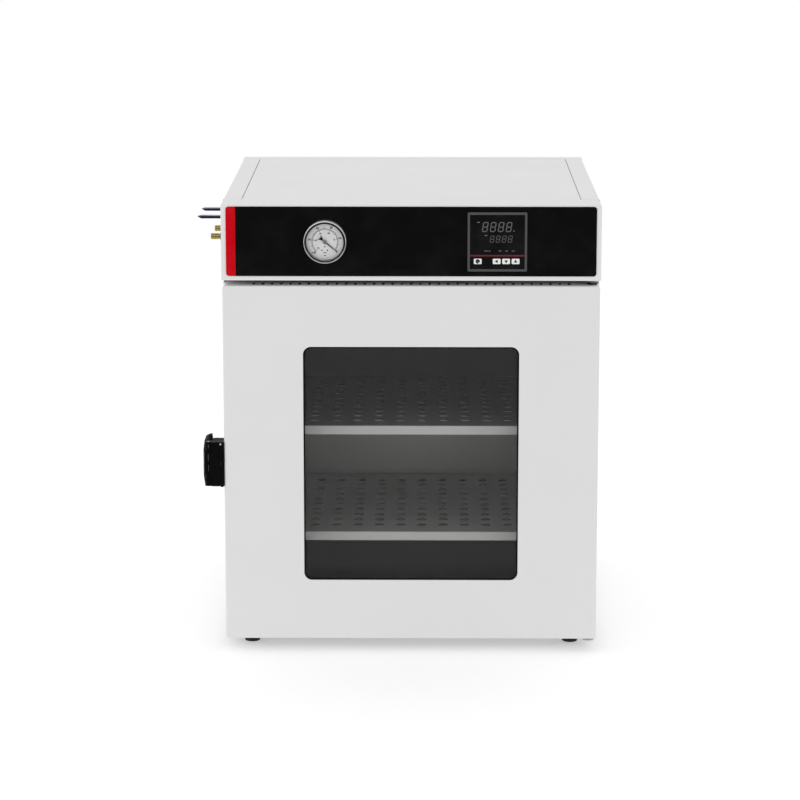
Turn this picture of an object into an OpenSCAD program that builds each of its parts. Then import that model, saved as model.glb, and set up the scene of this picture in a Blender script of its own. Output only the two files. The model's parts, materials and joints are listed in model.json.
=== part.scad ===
// Bench vacuum oven: a sheet-steel casing on four feet around a welded stainless
// vacuum chamber, with a glazed door hinged on the right, a compression latch on the
// left, a control box across the top, and two ball valves on the left wall.
// Millimetres, +Z up, +Y from the front to the back.

/* [Casing] */
// Width over the side panels
casing_w = 615; // [600:1:680]
// Depth from the control box front to the rear cover
casing_d = 640; // [580:1:720]
// Height without the feet
casing_h = 728; // [670:1:800]
// Height of the feet under the casing
foot_h = 24; // [16:1:40]
// Thickness of the folded steel sheet
sheet_t = 1.5; // [1:0.1:2]
// Outside radius of the folds
fold_r = 3; // [2.2:0.1:5]
// Height of the control box across the top
control_h = 124; // [118:1:135]
// Height of the air gap between the door and the control box
vent_gap = 9; // [7:0.5:14]
// Depth of the control box's top flange
front_top_d = 66; // [60:1:90]
// Depth of the rear cover's top flange
rear_top_d = 35; // [20:1:60]
// Width of the side panels' top flanges
side_top_w = 30; // [20:1:50]
// Width of the ledge that carries the lid
ledge_w = 16; // [8:1:30]
// Gap around the lid and at the other seams
seam_gap = 1; // [0.5:0.1:2]
// Width of the return flanges on the side panels and the base pan
return_w = 20; // [14:1:26]

/* [Door] */
// Distance that the door sits behind the control box front
door_setback = 4; // [2:0.5:8]
// Thickness of the door
door_t = 46; // [44:1:56]
// Distance that each door edge sits inside the casing sides
door_side_gap = 1; // [0.5:0.1:3]
// Height of the door's bottom edge above the casing bottom
door_lift = 2; // [1.8:0.1:5]
// Distance between the back of the door and the body
body_gap = 5; // [4:0.5:8]
// Radius of the door's four corners
door_corner_r = 6; // [4:0.5:12]
// Width of the window
window_w = 352; // [250:1:400]
// Distance of the window's top and bottom edges inside the cavity's
window_inset = 29; // [20:1:100]
// Radius of the window's corners
window_r = 13; // [5:0.5:30]
// Overlap of the outer pane behind the door skin
pane_lap = 18; // [12:1:24]
// Thickness of the tinted outer pane
pane_t = 4; // [3:0.5:6]
// Thickness of the rubber between the skin and the outer pane
window_seal_t = 1; // [0.5:0.1:2]
// Width of that rubber
window_seal_w = 14; // [8:1:18]
// Thickness of the toughened inner glass
glass_t = 12; // [10:1:15]
// Overlap of the inner glass past the gasket's middle line
glass_lap = 15; // [11:1:20]
// Free travel of the inner glass on its springs
glass_float = 2.5; // [1.5:0.1:4]
// Height of the bowed glass springs
spring_h = 5; // [3:0.5:8]
// Thickness of the spring strip
spring_t = 0.8; // [0.5:0.1:1.2]
// Length of each glass spring
spring_l = 60; // [40:1:90]
// Number of slots in the door's top edge
vent_count = 35; // [5:2:35]
// Distance from slot to slot
vent_pitch = 15.1; // [10:0.1:15.5]
// Width of each slot
vent_w = 4.3; // [2:0.1:6]
// Length of each slot, front to back
vent_l = 18; // [8:1:30]

/* [Hinge] */
// Distance of the hinge pins from the door's right edge
hinge_inset = 11.7; // [10.5:0.1:14]
// Distance of the hinge pins behind the door's front
hinge_back = 21; // [18:0.5:24]
// Radius of the hinge pins
hinge_pin_r = 4; // [3:0.5:5]
// Running clearance around the hinge pins
hinge_fit = 0.08; // [0.03:0.01:0.1]
// Length of the hinge pins and bushes
hinge_pin_l = 14; // [10:1:24]
// Thickness of the hinge plates
hinge_t = 4; // [3:0.5:5]
// Width of the hinge plates
hinge_plate_w = 19; // [18:1:20]

/* [Chamber] */
// Inside width of the chamber
chamber_w = 450; // [420:1:460]
// Height of the door beyond the cavity, above it and below it
chamber_rim = 71.5; // [66:0.5:85]
// Depth behind the chamber for its ribs, the insulation and air
rear_space = 133.5; // [115:0.5:160]
// Thickness of the chamber walls
chamber_t = 4; // [3:0.5:6]
// Radius of the chamber's long corners
chamber_r = 25; // [12:1:30]
// Thickness of the flange around the chamber mouth
flange_t = 6; // [4:0.5:10]
// Width of that flange outside the cavity
flange_w = 30; // [24:1:34]
// Number of stiffening ribs around the chamber
rib_count = 4; // [2:1:6]
// Height of each rib
rib_h = 12; // [6:1:16]
// Thickness of each rib
rib_t = 6; // [4:1:10]
// Width of the silicone door gasket
gasket_w = 14; // [8:1:16]
// Distance between the cavity edge and the gasket
gasket_off = 3; // [2:0.5:4]
// Gap between the gasket and the glass, not yet pumped down
gasket_gap = 0.3; // [0.2:0.1:0.8]
// Air between the insulation and the ribs
insulation_gap = 2; // [1:0.5:6]
// Thickness of the heating mats
heater_t = 3; // [2:0.5:5]

/* [Shelves] */
// Height of the lowest shelf above the chamber floor
shelf_z = 94; // [60:1:110]
// Height of the chamber roof above the highest rail
rail_headroom = 84.5; // [50:0.5:110]
// Thickness of the shelf and rack sheet
shelf_t = 1.5; // [1:0.1:2.5]
// Height of the shelf's front and rear lips
shelf_lip = 14.5; // [8:0.5:25]
// Distance of the shelf's rear edge from the chamber's rear wall
shelf_rear_gap = 11.5; // [8:0.5:100]
// Distance of the shelf's front edge behind the chamber mouth
shelf_back = 18.5; // [15:0.5:20]
// Width of the shelf rails
rail_w = 16; // [10:1:25]
// Running gap between a shelf and its rails
shelf_gap = 0.3; // [0.2:0.1:1]
// Radius of the punched holes
punch_r = 8; // [4:0.5:10]
// Distance from hole to hole
punch_pitch = 36; // [25:1:50]

/* [Control panel] */
// Width of the fascia with its accent strip
fascia_w = 598.6; // [560:0.1:605]
// Height of the fascia
fascia_h = 113.4; // [104:0.1:116]
// Thickness of the fascia
fascia_t = 1.2; // [0.8:0.1:2]
// Height of the fascia's middle above the middle of the control box
fascia_rise = 2.5; // [0:0.5:3]
// Radius of the fascia corners
fascia_r = 5; // [2:0.5:12]
// Width of the accent strip at the left end
accent_w = 15.5; // [8:0.5:30]
// Distance of the gauge from the middle of the panel
gauge_x = 139; // [100:1:200]
// Outer diameter of the gauge case
gauge_d = 63; // [60:1:66]
// Outer diameter of the gauge bezel
bezel_d = 69.5; // [69:0.5:90]
// Distance that the bezel stands out of the fascia
bezel_proud = 10.8; // [8:0.1:16]
// Width of the bezel's front ring
bezel_w = 5; // [3:0.5:7]
// Depth of the gauge case behind the fascia
gauge_depth = 28; // [20:1:40]
// Distance of the controller from the middle of the panel
controller_x = 139; // [100:1:200]
// Width and height of the controller's front frame
controller_s = 96; // [94:1:100]
// Width and height of the panel cut-out for the controller
cutout_s = 92; // [88:1:93]
// Distance that the controller frame stands out of the fascia
controller_proud = 4.5; // [3:0.5:8]
// Width of the controller's front frame
controller_rim = 3.8; // [2.5:0.1:6]
// Depth of the controller behind the fascia
controller_depth = 78; // [60:1:100]
// Width of each key
key_w = 12.6; // [8:0.1:13]
// Height of each key
key_h = 8.8; // [6:0.1:10]
// Travel of each key
key_travel = 0.8; // [0.4:0.1:1]
// Distance from one arrow key to the next
key_pitch = 15.3; // [13.5:0.1:15.5]
// Height of the controller's middle above the keys
key_drop = 31.5; // [28:0.5:34]
// Distance of the set key left of the controller's middle
set_key_x = 31.5; // [28:0.5:34]
// Clearance around each key
key_fit = 0.25; // [0.15:0.05:0.4]

/* [Valves] */
// Distance of the vacuum valve in front of the casing's rear
valve_ahead = 188; // [160:1:240]
// Distance from the vacuum valve to the vent valve
valve_spacing = 97; // [80:1:120]
// Height of the valve axis above the bottom of the control box
valve_rise = 5; // [4:0.5:8]
// Distance of the hose ends from the side panel
valve_reach = 49.5; // [45:0.5:60]
// Radius of the hose spigots
spigot_r = 5; // [4:0.5:7]
// Length of the hose spigots
spigot_l = 17; // [10:1:18]
// Height of the levers above the valve axis
lever_rise = 35; // [30:0.5:40]
// Height of the bonnet's top over the hose axis
bonnet_rise = 22; // [18:0.5:26]
// Distance of the lever tips from the side panel
lever_reach = 73; // [60:1:90]
// Width of the levers
lever_w = 14; // [9:1:16]
// Thickness of the levers
lever_t = 4.5; // [2.5:0.1:5]
// Radius of the valve stems
stem_r = 3; // [2.5:0.1:4]
// Running clearance around the valve stems
stem_fit = 0.06; // [0.03:0.01:0.1]
// Bore of the valves and the pipes
pipe_bore_r = 3; // [2:0.5:4]
// Outer radius of the pipes
pipe_r = 5; // [4.5:0.5:7]

/* [Latch] */
// Height of the latch
latch_h = 74; // [64:1:90]
// Distance that the latch stands out from the door's left edge
latch_w = 35.5; // [34:0.5:40]
// Depth of the latch housing
latch_d = 35; // [28:1:42]
// Depth of the latch lever
latch_lever_d = 68; // [66:1:74]
// Radius of the lever's curve in plan
latch_curve_r = 100; // [80:1:120]
// Radius of the lever's curve in front view
latch_bow_r = 244; // [200:1:400]
// Thickness of the latch walls
latch_t = 3.5; // [2.5:0.1:5]
// Radius of the latch pin
latch_pin_r = 2.5; // [2:0.1:3]
// Running clearance around the latch pin
latch_fit = 0.06; // [0.03:0.01:0.1]
// Radius of the keeper's bar
keeper_bar_r = 3; // [2:0.5:4]

/* [Feet] */
// Distance of the feet from the casing sides
foot_inset = 40; // [40:1:80]
// Distance of the front feet behind the body front
foot_back = 30; // [22:1:60]
// Radius of the feet at the floor
foot_r = 12.5; // [10:0.5:14]
// Height of the rubber pads
pad_h = 16; // [8:1:20]
// Radius of the threaded studs
stud_r = 5; // [4:0.5:6]

/* [Rear] */
// Width of the mains inlet's cut-out
inlet_w = 27.5; // [27:0.5:30]
// Height of the mains inlet's cut-out
inlet_h = 20; // [19:0.5:24]
// Width of the switch's cut-out
switch_w = 19; // [19:0.5:22]
// Height of the switch's cut-out
switch_h = 13; // [13:0.5:16]
// Distance that the inlet flange stands out of the rear cover
inlet_proud = 4; // [3:0.5:6]
// Number of louvre slots in the rear cover
louvre_count = 14; // [4:1:18]
// Distance from louvre to louvre
louvre_pitch = 12; // [8:1:16]
// Height of each louvre slot
louvre_h = 60; // [30:1:70]
// Width of each louvre slot
louvre_w = 4; // [2:0.5:6]
// Radius of the small casing screws
screw_r = 2; // [1.5:0.1:2.5]

/* [Hidden] */
$fn = 64;

// Casing planes
half_w = casing_w / 2;
top_z = foot_h + casing_h;
control_z = top_z - control_h;
panel_cz = control_z + control_h / 2 + fascia_rise;

// Door planes
door_w = casing_w - 2 * door_side_gap;
door_z0 = foot_h + door_lift;
door_z1 = control_z - vent_gap;
door_h = door_z1 - door_z0;
door_cz = (door_z0 + door_z1) / 2;
door_y0 = door_setback;
door_y1 = door_y0 + door_t;
body_y = door_y1 + body_gap;
mouth_y = body_y + sheet_t;
chamber_h = door_h - 2 * chamber_rim;
chamber_d = casing_d - mouth_y - rear_space;
window_h = chamber_h - 2 * window_inset;
hinge_x = door_w / 2 - hinge_inset;
hinge_y = door_y0 + hinge_back;

// The inner glass lies on the gasket, which lies on the chamber flange
gasket_in = chamber_w + 2 * gasket_off;
gasket_in_h = chamber_h + 2 * gasket_off;
glass_w = gasket_in + gasket_w + 2 * glass_lap;
glass_h = gasket_in_h + gasket_w + 2 * glass_lap;
lip_y = door_y1 - sheet_t;
glass_y1 = lip_y - glass_float;
glass_y0 = glass_y1 - glass_t;
glass_hold = 5;
frame_edge = 20;
frame_lip = 10;
frame_front_t = 3;
frame_y0 = glass_y0 - spring_h - frame_front_t;
liner_y0 = door_y0 + sheet_t + window_seal_t + pane_t + 1;

// Shelves and racks
shelf_w = chamber_w - 14;
shelf_y = mouth_y + shelf_back;
shelf_d = chamber_d - shelf_back - shelf_rear_gap;
rack_gap = 0.3;
rail_levels = 4;
shelf_pitch = (chamber_h - shelf_z - rail_headroom) / (rail_levels - 1);
lower_z = chamber_z(0) + shelf_z;
upper_z = lower_z + 2 * shelf_pitch;
stud_pin_r = 3;
stud_pin_l = 5;

// Fits and small parts
fit = 0.3;
gauge_front = -fascia_t - bezel_proud;
dial_y = -fascia_t - 2;
key_z = panel_cz - key_drop;
face_recess = 1;
face_t = 1.5;
face_y = -fascia_t - controller_proud + face_recess;
pocket_s = cutout_s - 7;
shank_in = 12;

// Valve, latch and hinge axes
valve_x = -half_w - 25;
valve_y = casing_d - valve_ahead;
valve_z = control_z + valve_rise;
latch_x0 = -door_w / 2 - latch_w;
latch_cz = door_cz;
latch_pin_x = latch_x0 + 9.5;
latch_pin_y = door_y0 + 5.5;
latch_barrel_r = 6;
latch_block_x = latch_pin_x + latch_barrel_r + 0.5;

// The frame's origin lies under the middle of the whole oven
frame_x = -lever_reach / 2;
frame_y = (casing_d + inlet_proud + gauge_front) / 2;

// Height of a point above the chamber floor
function chamber_z(up) = door_cz - chamber_h / 2 + up;

// Places along a row of count copies about zero
function row(count, pitch) = [for (i = [0 : count - 1]) (i - (count - 1) / 2) * pitch];

// A box from its lowest and highest corners
module box(x, y, z) {
    translate([x[0], y[0], z[0]]) cube([x[1] - x[0], y[1] - y[0], z[1] - z[0]]);
}

// Round bars along the three axes
module bar_x(y, z, r, x) {
    translate([x[0], y, z]) rotate([0, 90, 0]) cylinder(h = x[1] - x[0], r = r);
}
module bar_y(x, z, r, y) {
    translate([x, y[0], z]) rotate([-90, 0, 0]) cylinder(h = y[1] - y[0], r = r);
}
module bar_z(x, y, r, z) {
    translate([x, y, z[0]]) cylinder(h = z[1] - z[0], r = r);
}

// A front view outline given depth between two Y planes
module front_view(y) {
    translate([0, y[1], 0]) rotate([90, 0, 0]) linear_extrude(y[1] - y[0]) children();
}
// A side view outline, Y across and Z up, given width between two X planes
module side_view(x) {
    translate([x[0], 0, 0]) rotate([90, 0, 90]) linear_extrude(x[1] - x[0]) children();
}
// A plan outline given height between two Z planes
module plan_view(z) {
    translate([0, 0, z[0]]) linear_extrude(z[1] - z[0]) children();
}

// Slot with round ends, upright, about its centre
module slot_outline(w, l) {
    square([w, l - w], center = true);
    for (y = [-1, 1]) translate([0, y * (l - w) / 2]) circle(w / 2);
}

// Rounded rectangle about its centre
module round_rect(w, h, r) {
    square([w - 2 * r, h], center = true);
    square([w, h - 2 * r], center = true);
    for (x = [-1, 1], y = [-1, 1]) translate([x * (w / 2 - r), y * (h / 2 - r)]) circle(r);
}

// Rectangle from x = 0 to d, with its two corners at x = 0 rounded
module fold_outline(d, h, r) {
    translate([r, -h / 2]) square([d - r, h]);
    translate([0, -h / 2 + r]) square([d, h - 2 * r]);
    for (y = [-1, 1]) translate([r, y * (h / 2 - r)]) circle(r);
}

// A block with folded front edges, about x = 0 and height z
module folded_block(w, h, y, z, edge, corner) {
    intersection() {
        front_view(y) translate([0, z]) round_rect(w, h, corner);
        side_view([-w / 2, w / 2]) translate([y[0], z]) fold_outline(y[1] - y[0], h, edge);
        plan_view([z - h / 2, z + h / 2]) translate([0, y[0]]) rotate(90)
            fold_outline(y[1] - y[0], w, edge);
    }
}

// A hollow folded tray, open at the back
module folded_tray(w, h, y, z, edge, corner) {
    difference() {
        folded_block(w, h, y, z, edge, corner);
        folded_block(w - 2 * sheet_t, h - 2 * sheet_t, [y[0] + sheet_t, y[1] + 1], z,
            edge - sheet_t, max(corner - sheet_t, edge - sheet_t));
    }
}

// A flat ring of rectangular outline
module rect_ring(w, h, r, w_in, h_in, r_in, y) {
    front_view(y) difference() {
        round_rect(w, h, r);
        round_rect(w_in, h_in, r_in);
    }
}

// ---- Casing ----

// Centres of the gauge hole and of the controller cut-out
module panel_holes(y) {
    bar_y(-gauge_x, panel_cz, gauge_d / 2 + fit, y);
    translate([controller_x, 0, panel_cz]) front_view(y) square(cutout_s, center = true);
}

// Front, top and bottom of the control box, folded from one sheet
module control_front_frame() {
    side_end = body_y - seam_gap;
    color("gainsboro") difference() {
        folded_tray(casing_w, control_h, [0, front_top_d], control_z + control_h / 2,
            fold_r, fold_r);
        for (s = [-1, 1]) translate([s * half_w, 0, 0])
            box([-sheet_t - fit, sheet_t + fit], [side_end, front_top_d + 1],
                [control_z - 1, top_z + 1]);
        box([-half_w, half_w], [side_end, front_top_d + 1], [control_z - 1, control_z + fold_r]);
        panel_holes([-1, sheet_t + 1]);
        bar_z(hinge_x, hinge_y + 17, screw_r + fit, [control_z - 1, control_z + 3]);
    }
}

// The wall, top flange, lid ledge and rear return of one side panel
module side_panel(side) {
    flange_end = half_w - side_top_w;
    rear_y = casing_d - sheet_t;
    flange_y = [front_top_d + seam_gap, casing_d - rear_top_d - seam_gap];
    mirror([side < 0 ? 1 : 0, 0, 0]) difference() {
        union() {
            box([half_w - sheet_t, half_w], [body_y, rear_y], [foot_h, top_z - fold_r]);
            box([half_w - sheet_t, half_w], [body_y, flange_y[0]], [foot_h, top_z]);
            front_view(flange_y) translate([half_w, top_z]) fold_profile(side_top_w);
            box([flange_end - ledge_w, flange_end + 4], flange_y,
                [top_z - 2 * sheet_t, top_z - sheet_t]);
            box([flange_end + 0.5, flange_end + 4], flange_y,
                [top_z - 2 * sheet_t, top_z - sheet_t / 2]);
            box([half_w - return_w, half_w], [rear_y - sheet_t, rear_y],
                [foot_h + 30, top_z - 40]);
        }
        for (z = screw_heights())
            bar_y(half_w - return_w / 2, z, screw_r + fit, [rear_y - 5, rear_y + 1]);
    }
}

// Cross-section of a sheet folded over at the top, its outer corner at the origin
module fold_profile(w) {
    h = fold_r + 1;
    difference() {
        union() {
            translate([-w, -h]) square([w, h - fold_r]);
            translate([-w, -h]) square([w - fold_r, h]);
            translate([-fold_r, -fold_r]) circle(fold_r);
        }
        translate([-w - 1, -h - 1]) square([w + 1 - sheet_t, h + 1 - fold_r]);
        translate([-w - 1, -h - 1]) square([w + 1 - fold_r, h + 1 - sheet_t]);
        translate([-fold_r, -fold_r]) circle(fold_r - sheet_t);
    }
}

// Heights of the rear cover's screws
function screw_heights() = [for (i = [0 : 4]) foot_h + 50 + i * (casing_h - 120) / 4];

module side_panel_left() {
    color("gainsboro") difference() {
        side_panel(-1);
        for (y = valve_places())
            bar_x(y, valve_z, spigot_r + 3 + fit, [-half_w - 1, -half_w + sheet_t + 1]);
        for (z = keeper_screws())
            bar_x(keeper_y() + 14, z, screw_r + fit, [-half_w - 1, -half_w + sheet_t + 1]);
    }
}

module side_panel_right() {
    color("gainsboro") side_panel(1);
}

// Drop-in lid between the flanges
module top_cover() {
    lid_w = casing_w - 2 * (side_top_w + seam_gap);
    lid_y = [front_top_d + seam_gap, casing_d - rear_top_d - seam_gap];
    color("whitesmoke") union() {
        box([-lid_w / 2, lid_w / 2], lid_y, [top_z - sheet_t, top_z]);
        // stiffening hats under the lid
        for (y = row(2, (lid_y[1] - lid_y[0]) / 2))
            translate([0, (lid_y[0] + lid_y[1]) / 2 + y, 0])
                box([-lid_w / 2 + 30, lid_w / 2 - 30], [-15, 15],
                    [top_z - 10, top_z - sheet_t]);
    }
}

// Centres of the louvre slots, one bank each side above the deck
bank_x = 190;
function louvre_places() = [for (s = [-1, 1], i = row(louvre_count, louvre_pitch)) s * bank_x + i];
inlet_x = 30;
inlet_z = control_z + 46;
switch_x = -20;

// Back of the casing, with its own top flange
module rear_cover() {
    z_mid = foot_h + casing_h / 2;
    rear_y = casing_d - sheet_t;
    color("gainsboro") difference() {
        union() {
            box([-half_w, half_w], [rear_y, casing_d], [foot_h, top_z - fold_r]);
            side_view([-half_w, half_w]) translate([casing_d, top_z]) fold_profile(rear_top_d);
        }
        for (x = louvre_places(), z = [control_z + 55])
            front_view([rear_y - 1, casing_d + 1]) translate([x, z])
                slot_outline(louvre_w, louvre_h);
        front_view([rear_y - 1, casing_d + 1]) {
            translate([inlet_x, inlet_z]) square([inlet_w, inlet_h], center = true);
            translate([switch_x, inlet_z]) square([switch_w, switch_h], center = true);
        }
        for (s = [-1, 1], z = screw_heights())
            bar_y(s * (half_w - return_w / 2), z, screw_r + fit, [rear_y - 1, casing_d + 1]);
    }
}

// Places of the four feet
function foot_places() = [
    for (x = [-1, 1], y = [body_y + foot_back, casing_d - foot_back - 30])
        [x * (half_w - foot_inset), y]
];

// Floor of the casing, with upturned sides
module base_pan() {
    x = half_w - sheet_t;
    y = [mouth_y, casing_d - 2 * sheet_t];
    color("darkgray") difference() {
        union() {
            box([-x, x], y, [foot_h, foot_h + sheet_t]);
            for (s = [0, 1]) mirror([s, 0, 0])
                box([x - sheet_t, x], y, [foot_h, foot_h + return_w]);
        }
        for (p = foot_places()) bar_z(p[0], p[1], stud_r + fit, [foot_h - 1, foot_h + 3]);
        for (y = bottom_hinge_screws())
            bar_z(hinge_x, y, screw_r + fit, [foot_h - 1, foot_h + 3]);
    }
}

// Floor of the control box, which carries the electrical parts
module deck_plate() {
    x = half_w - sheet_t;
    color("silver") difference() {
        box([-x, x], [body_y, casing_d - 2 * sheet_t], [control_z, control_z + sheet_t]);
        // opening under the valves and their pipes
        box([-x - 1, port_x + 38], [valve_y - 20, valve_y + valve_spacing + 20],
            [control_z - 1, control_z + 3]);
        bar_z(probe_x, probe_y, probe_r + 2, [control_z - 1, control_z + 3]);
        bar_z(hinge_x, top_hinge_screw(), screw_r + fit, [control_z - 1, control_z + 3]);
    }
}

// Front wall of the body around the chamber mouth
module front_frame() {
    x = half_w - sheet_t;
    open_w = chamber_w + flange_w + 10;
    open_h = chamber_h + flange_w + 10;
    color("whitesmoke") difference() {
        box([-x, x], [body_y, mouth_y], [foot_h, control_z]);
        front_view([body_y - 1, mouth_y + 1]) translate([0, door_cz])
            round_rect(open_w, open_h, chamber_r);
        box([hinge_x - hinge_plate_w / 2 - fit, hinge_x + hinge_plate_w / 2 + fit],
            [body_y - 1, mouth_y + 1], [control_z - hinge_t, control_z + 1]);
    }
}

// ---- Chamber ----

probe_x = 150;
probe_y = mouth_y + chamber_d - 60;
probe_r = 3;

// Ports in the chamber's roof: first the vacuum line, then the vent line
port_x = -chamber_w / 2 + 37.5;
function pipe_places() = [[port_x, valve_y], [port_x + 30, valve_y + 28]];
function valve_places() = [valve_y, valve_y + valve_spacing];

// Depths of the stiffening ribs behind the mouth
function rib_places() = [
    for (i = [1 : rib_count]) mouth_y + flange_t + i * (chamber_d - 40) / (rib_count + 1) + 10
];

// Welded stainless box with a thick front flange and ribs against the vacuum
module chamber() {
    back_y = mouth_y + chamber_d;
    outer_w = chamber_w + 2 * chamber_t;
    outer_h = chamber_h + 2 * chamber_t;
    outer_r = chamber_r + chamber_t;
    color("lightgray") difference() {
        translate([0, 0, door_cz]) union() {
            front_view([mouth_y, back_y + chamber_t]) round_rect(outer_w, outer_h, outer_r);
            front_view([mouth_y, mouth_y + flange_t])
                round_rect(chamber_w + 2 * flange_w, chamber_h + 2 * flange_w, chamber_r);
            for (y = rib_places()) front_view([y, y + rib_t])
                round_rect(outer_w + 2 * rib_h, outer_h + 2 * rib_h, outer_r + rib_h);
            // crossed ribs on the rear wall
            for (x = row(3, 110))
                box([x - rib_t / 2, x + rib_t / 2],
                    [back_y + chamber_t, back_y + chamber_t + rib_h],
                    [-outer_h / 2 + 20, outer_h / 2 - 20]);
        }
        translate([0, 0, door_cz]) front_view([mouth_y - 1, back_y])
            round_rect(chamber_w, chamber_h, chamber_r);
        for (p = pipe_places())
            bar_z(p[0], p[1], pipe_bore_r, [chamber_z(chamber_h) - 1, chamber_z(chamber_h) + 30]);
        bar_z(probe_x, probe_y, probe_r + 0.05,
            [chamber_z(chamber_h) - 1, chamber_z(chamber_h) + 30]);
    }
    // welded studs that the shelf racks hang on
    color("lightgray") for (s = [-1, 1], p = rack_studs())
        bar_x(p[0], p[1], stud_pin_r, s < 0 ? [-chamber_w / 2 - 1, -chamber_w / 2 + stud_pin_l]
            : [chamber_w / 2 - stud_pin_l, chamber_w / 2 + 1]);
}

// Silicone ring between the chamber flange and the inner glass
module door_gasket() {
    y0 = glass_y1 + gasket_gap;
    w = gasket_in + 2 * gasket_w;
    h = gasket_in_h + 2 * gasket_w;
    color("firebrick") translate([0, 0, door_cz]) difference() {
        rect_ring(w, h, chamber_r + gasket_w, gasket_in, gasket_in_h, chamber_r + gasket_off,
            [y0, mouth_y]);
        // groove that makes the sealing lip
        rect_ring(w - 8, h - 8, chamber_r + gasket_w - 4, gasket_in + 8, gasket_in_h + 8,
            chamber_r + gasket_off + 4, [y0 - 1, y0 + 2]);
    }
}

// Mineral wool box around the chamber, resting on the base pan
module insulation() {
    in_w = chamber_w + 2 * (chamber_t + rib_h + insulation_gap);
    in_h = chamber_h + 2 * (chamber_t + rib_h + insulation_gap);
    y0 = mouth_y + flange_t + fit;
    y1 = mouth_y + chamber_d + chamber_t + rib_h + 60;
    x = half_w - sheet_t - 2 * fit - sheet_t;
    color("lightyellow") difference() {
        box([-x, x], [y0, y1], [foot_h + sheet_t, control_z - 8]);
        translate([0, 0, door_cz])
            front_view([y0 - 1, mouth_y + chamber_d + chamber_t + rib_h + insulation_gap])
            round_rect(in_w, in_h, chamber_r + chamber_t + rib_h);
        for (p = pipe_places()) bar_z(p[0], p[1], pipe_r + 3, [door_cz, control_z]);
        bar_z(probe_x, probe_y, probe_r + 3, [door_cz, control_z]);
        // hollows over the foot nuts and the hinge screws
        for (p = foot_places()) bar_z(p[0], p[1], 16, [foot_h, foot_h + stud_in + 3]);
        box([hinge_x - 8, x + 1], [y0 - 1, bottom_hinge_screws()[1] + 8],
            [foot_h, foot_h + 12]);
    }
}

// Heating mats on the two sides and the floor of the chamber, between the ribs
module heater_pads() {
    ribs = rib_places();
    gap = 4;
    color("orange") for (i = [0 : rib_count - 2]) {
        y = [ribs[i] + rib_t + gap, ribs[i + 1] - gap];
        for (s = [0, 1]) mirror([s, 0, 0])
            box([chamber_w / 2 + chamber_t, chamber_w / 2 + chamber_t + heater_t], y,
                [door_cz - chamber_h / 2 + 40, door_cz + chamber_h / 2 - 40]);
        box([-chamber_w / 2 + 40, chamber_w / 2 - 40], y,
            [chamber_z(-chamber_t - heater_t), chamber_z(-chamber_t)]);
    }
}

// Stainless sensor pushed through the chamber's roof
module temperature_probe() {
    roof = chamber_z(chamber_h);
    color("silver") {
        bar_z(probe_x, probe_y, probe_r, [roof - 40, control_z + 12]);
        bar_z(probe_x, probe_y, probe_r + 3.5, [control_z + 8, control_z + 20]);
    }
}

// Vacuum line to the valve and the gauge, and vent line from the second valve
module chamber_pipes() {
    roof = chamber_z(chamber_h) + chamber_t;
    a = pipe_places()[0];
    b = pipe_places()[1];
    vent_y = valve_places()[1];
    shank = -half_w + shank_in;
    color("peru") difference() {
        union() {
            bar_z(a[0], a[1], pipe_r, [roof, valve_z]);
            bar_x(a[1], valve_z, pipe_r, [shank, a[0]]);
            translate([a[0], a[1], valve_z]) sphere(pipe_r + 2);
            bar_z(b[0], b[1], pipe_r, [roof, valve_z]);
            bar_y(b[0], valve_z, pipe_r, [b[1], vent_y]);
            bar_x(vent_y, valve_z, pipe_r, [shank, b[0]]);
            for (y = [b[1], vent_y]) translate([b[0], y, valve_z]) sphere(pipe_r + 1);
        }
        bar_z(a[0], a[1], pipe_bore_r, [roof - 1, valve_z]);
        bar_x(a[1], valve_z, pipe_bore_r, [shank - 1, a[0]]);
        bar_z(b[0], b[1], pipe_bore_r, [roof - 1, valve_z]);
        bar_y(b[0], valve_z, pipe_bore_r, [b[1], vent_y]);
        bar_x(vent_y, valve_z, pipe_bore_r, [shank - 1, b[0]]);
    }
}

// Small line from the vacuum elbow forward and up to the gauge
module gauge_line() {
    a = pipe_places()[0];
    r = 2.5;
    y0 = gauge_rear_y();
    start_y = a[1] - pipe_r - 2.2;
    color("peru") {
        bar_y(a[0], valve_z, r, [y0 + 40, start_y]);
        bar_z(a[0], y0 + 40, r, [valve_z, panel_cz]);
        bar_x(y0 + 40, panel_cz, r, [a[0], -gauge_x]);
        bar_y(-gauge_x, panel_cz, r, [y0, y0 + 40]);
        translate([a[0], y0 + 40, valve_z]) sphere(r);
        translate([a[0], y0 + 40, panel_cz]) sphere(r);
        translate([-gauge_x, y0 + 40, panel_cz]) sphere(r);
    }
}
function gauge_rear_y() = gauge_depth + 18;

// ---- Shelves ----

rack_z = [chamber_z(chamber_r + 4), chamber_z(chamber_h - chamber_r - 4)];
rack_y = [shelf_y, shelf_y + shelf_d - 10];
function rack_studs() = [
    for (y = [rack_y[0] + 30, rack_y[1] - 30], z = [rack_z[0] + 15, rack_z[1] - 15]) [y, z]
];
function rail_tops() = [for (i = [0 : rail_levels - 1]) lower_z - shelf_t - shelf_gap
    + i * shelf_pitch];

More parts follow.
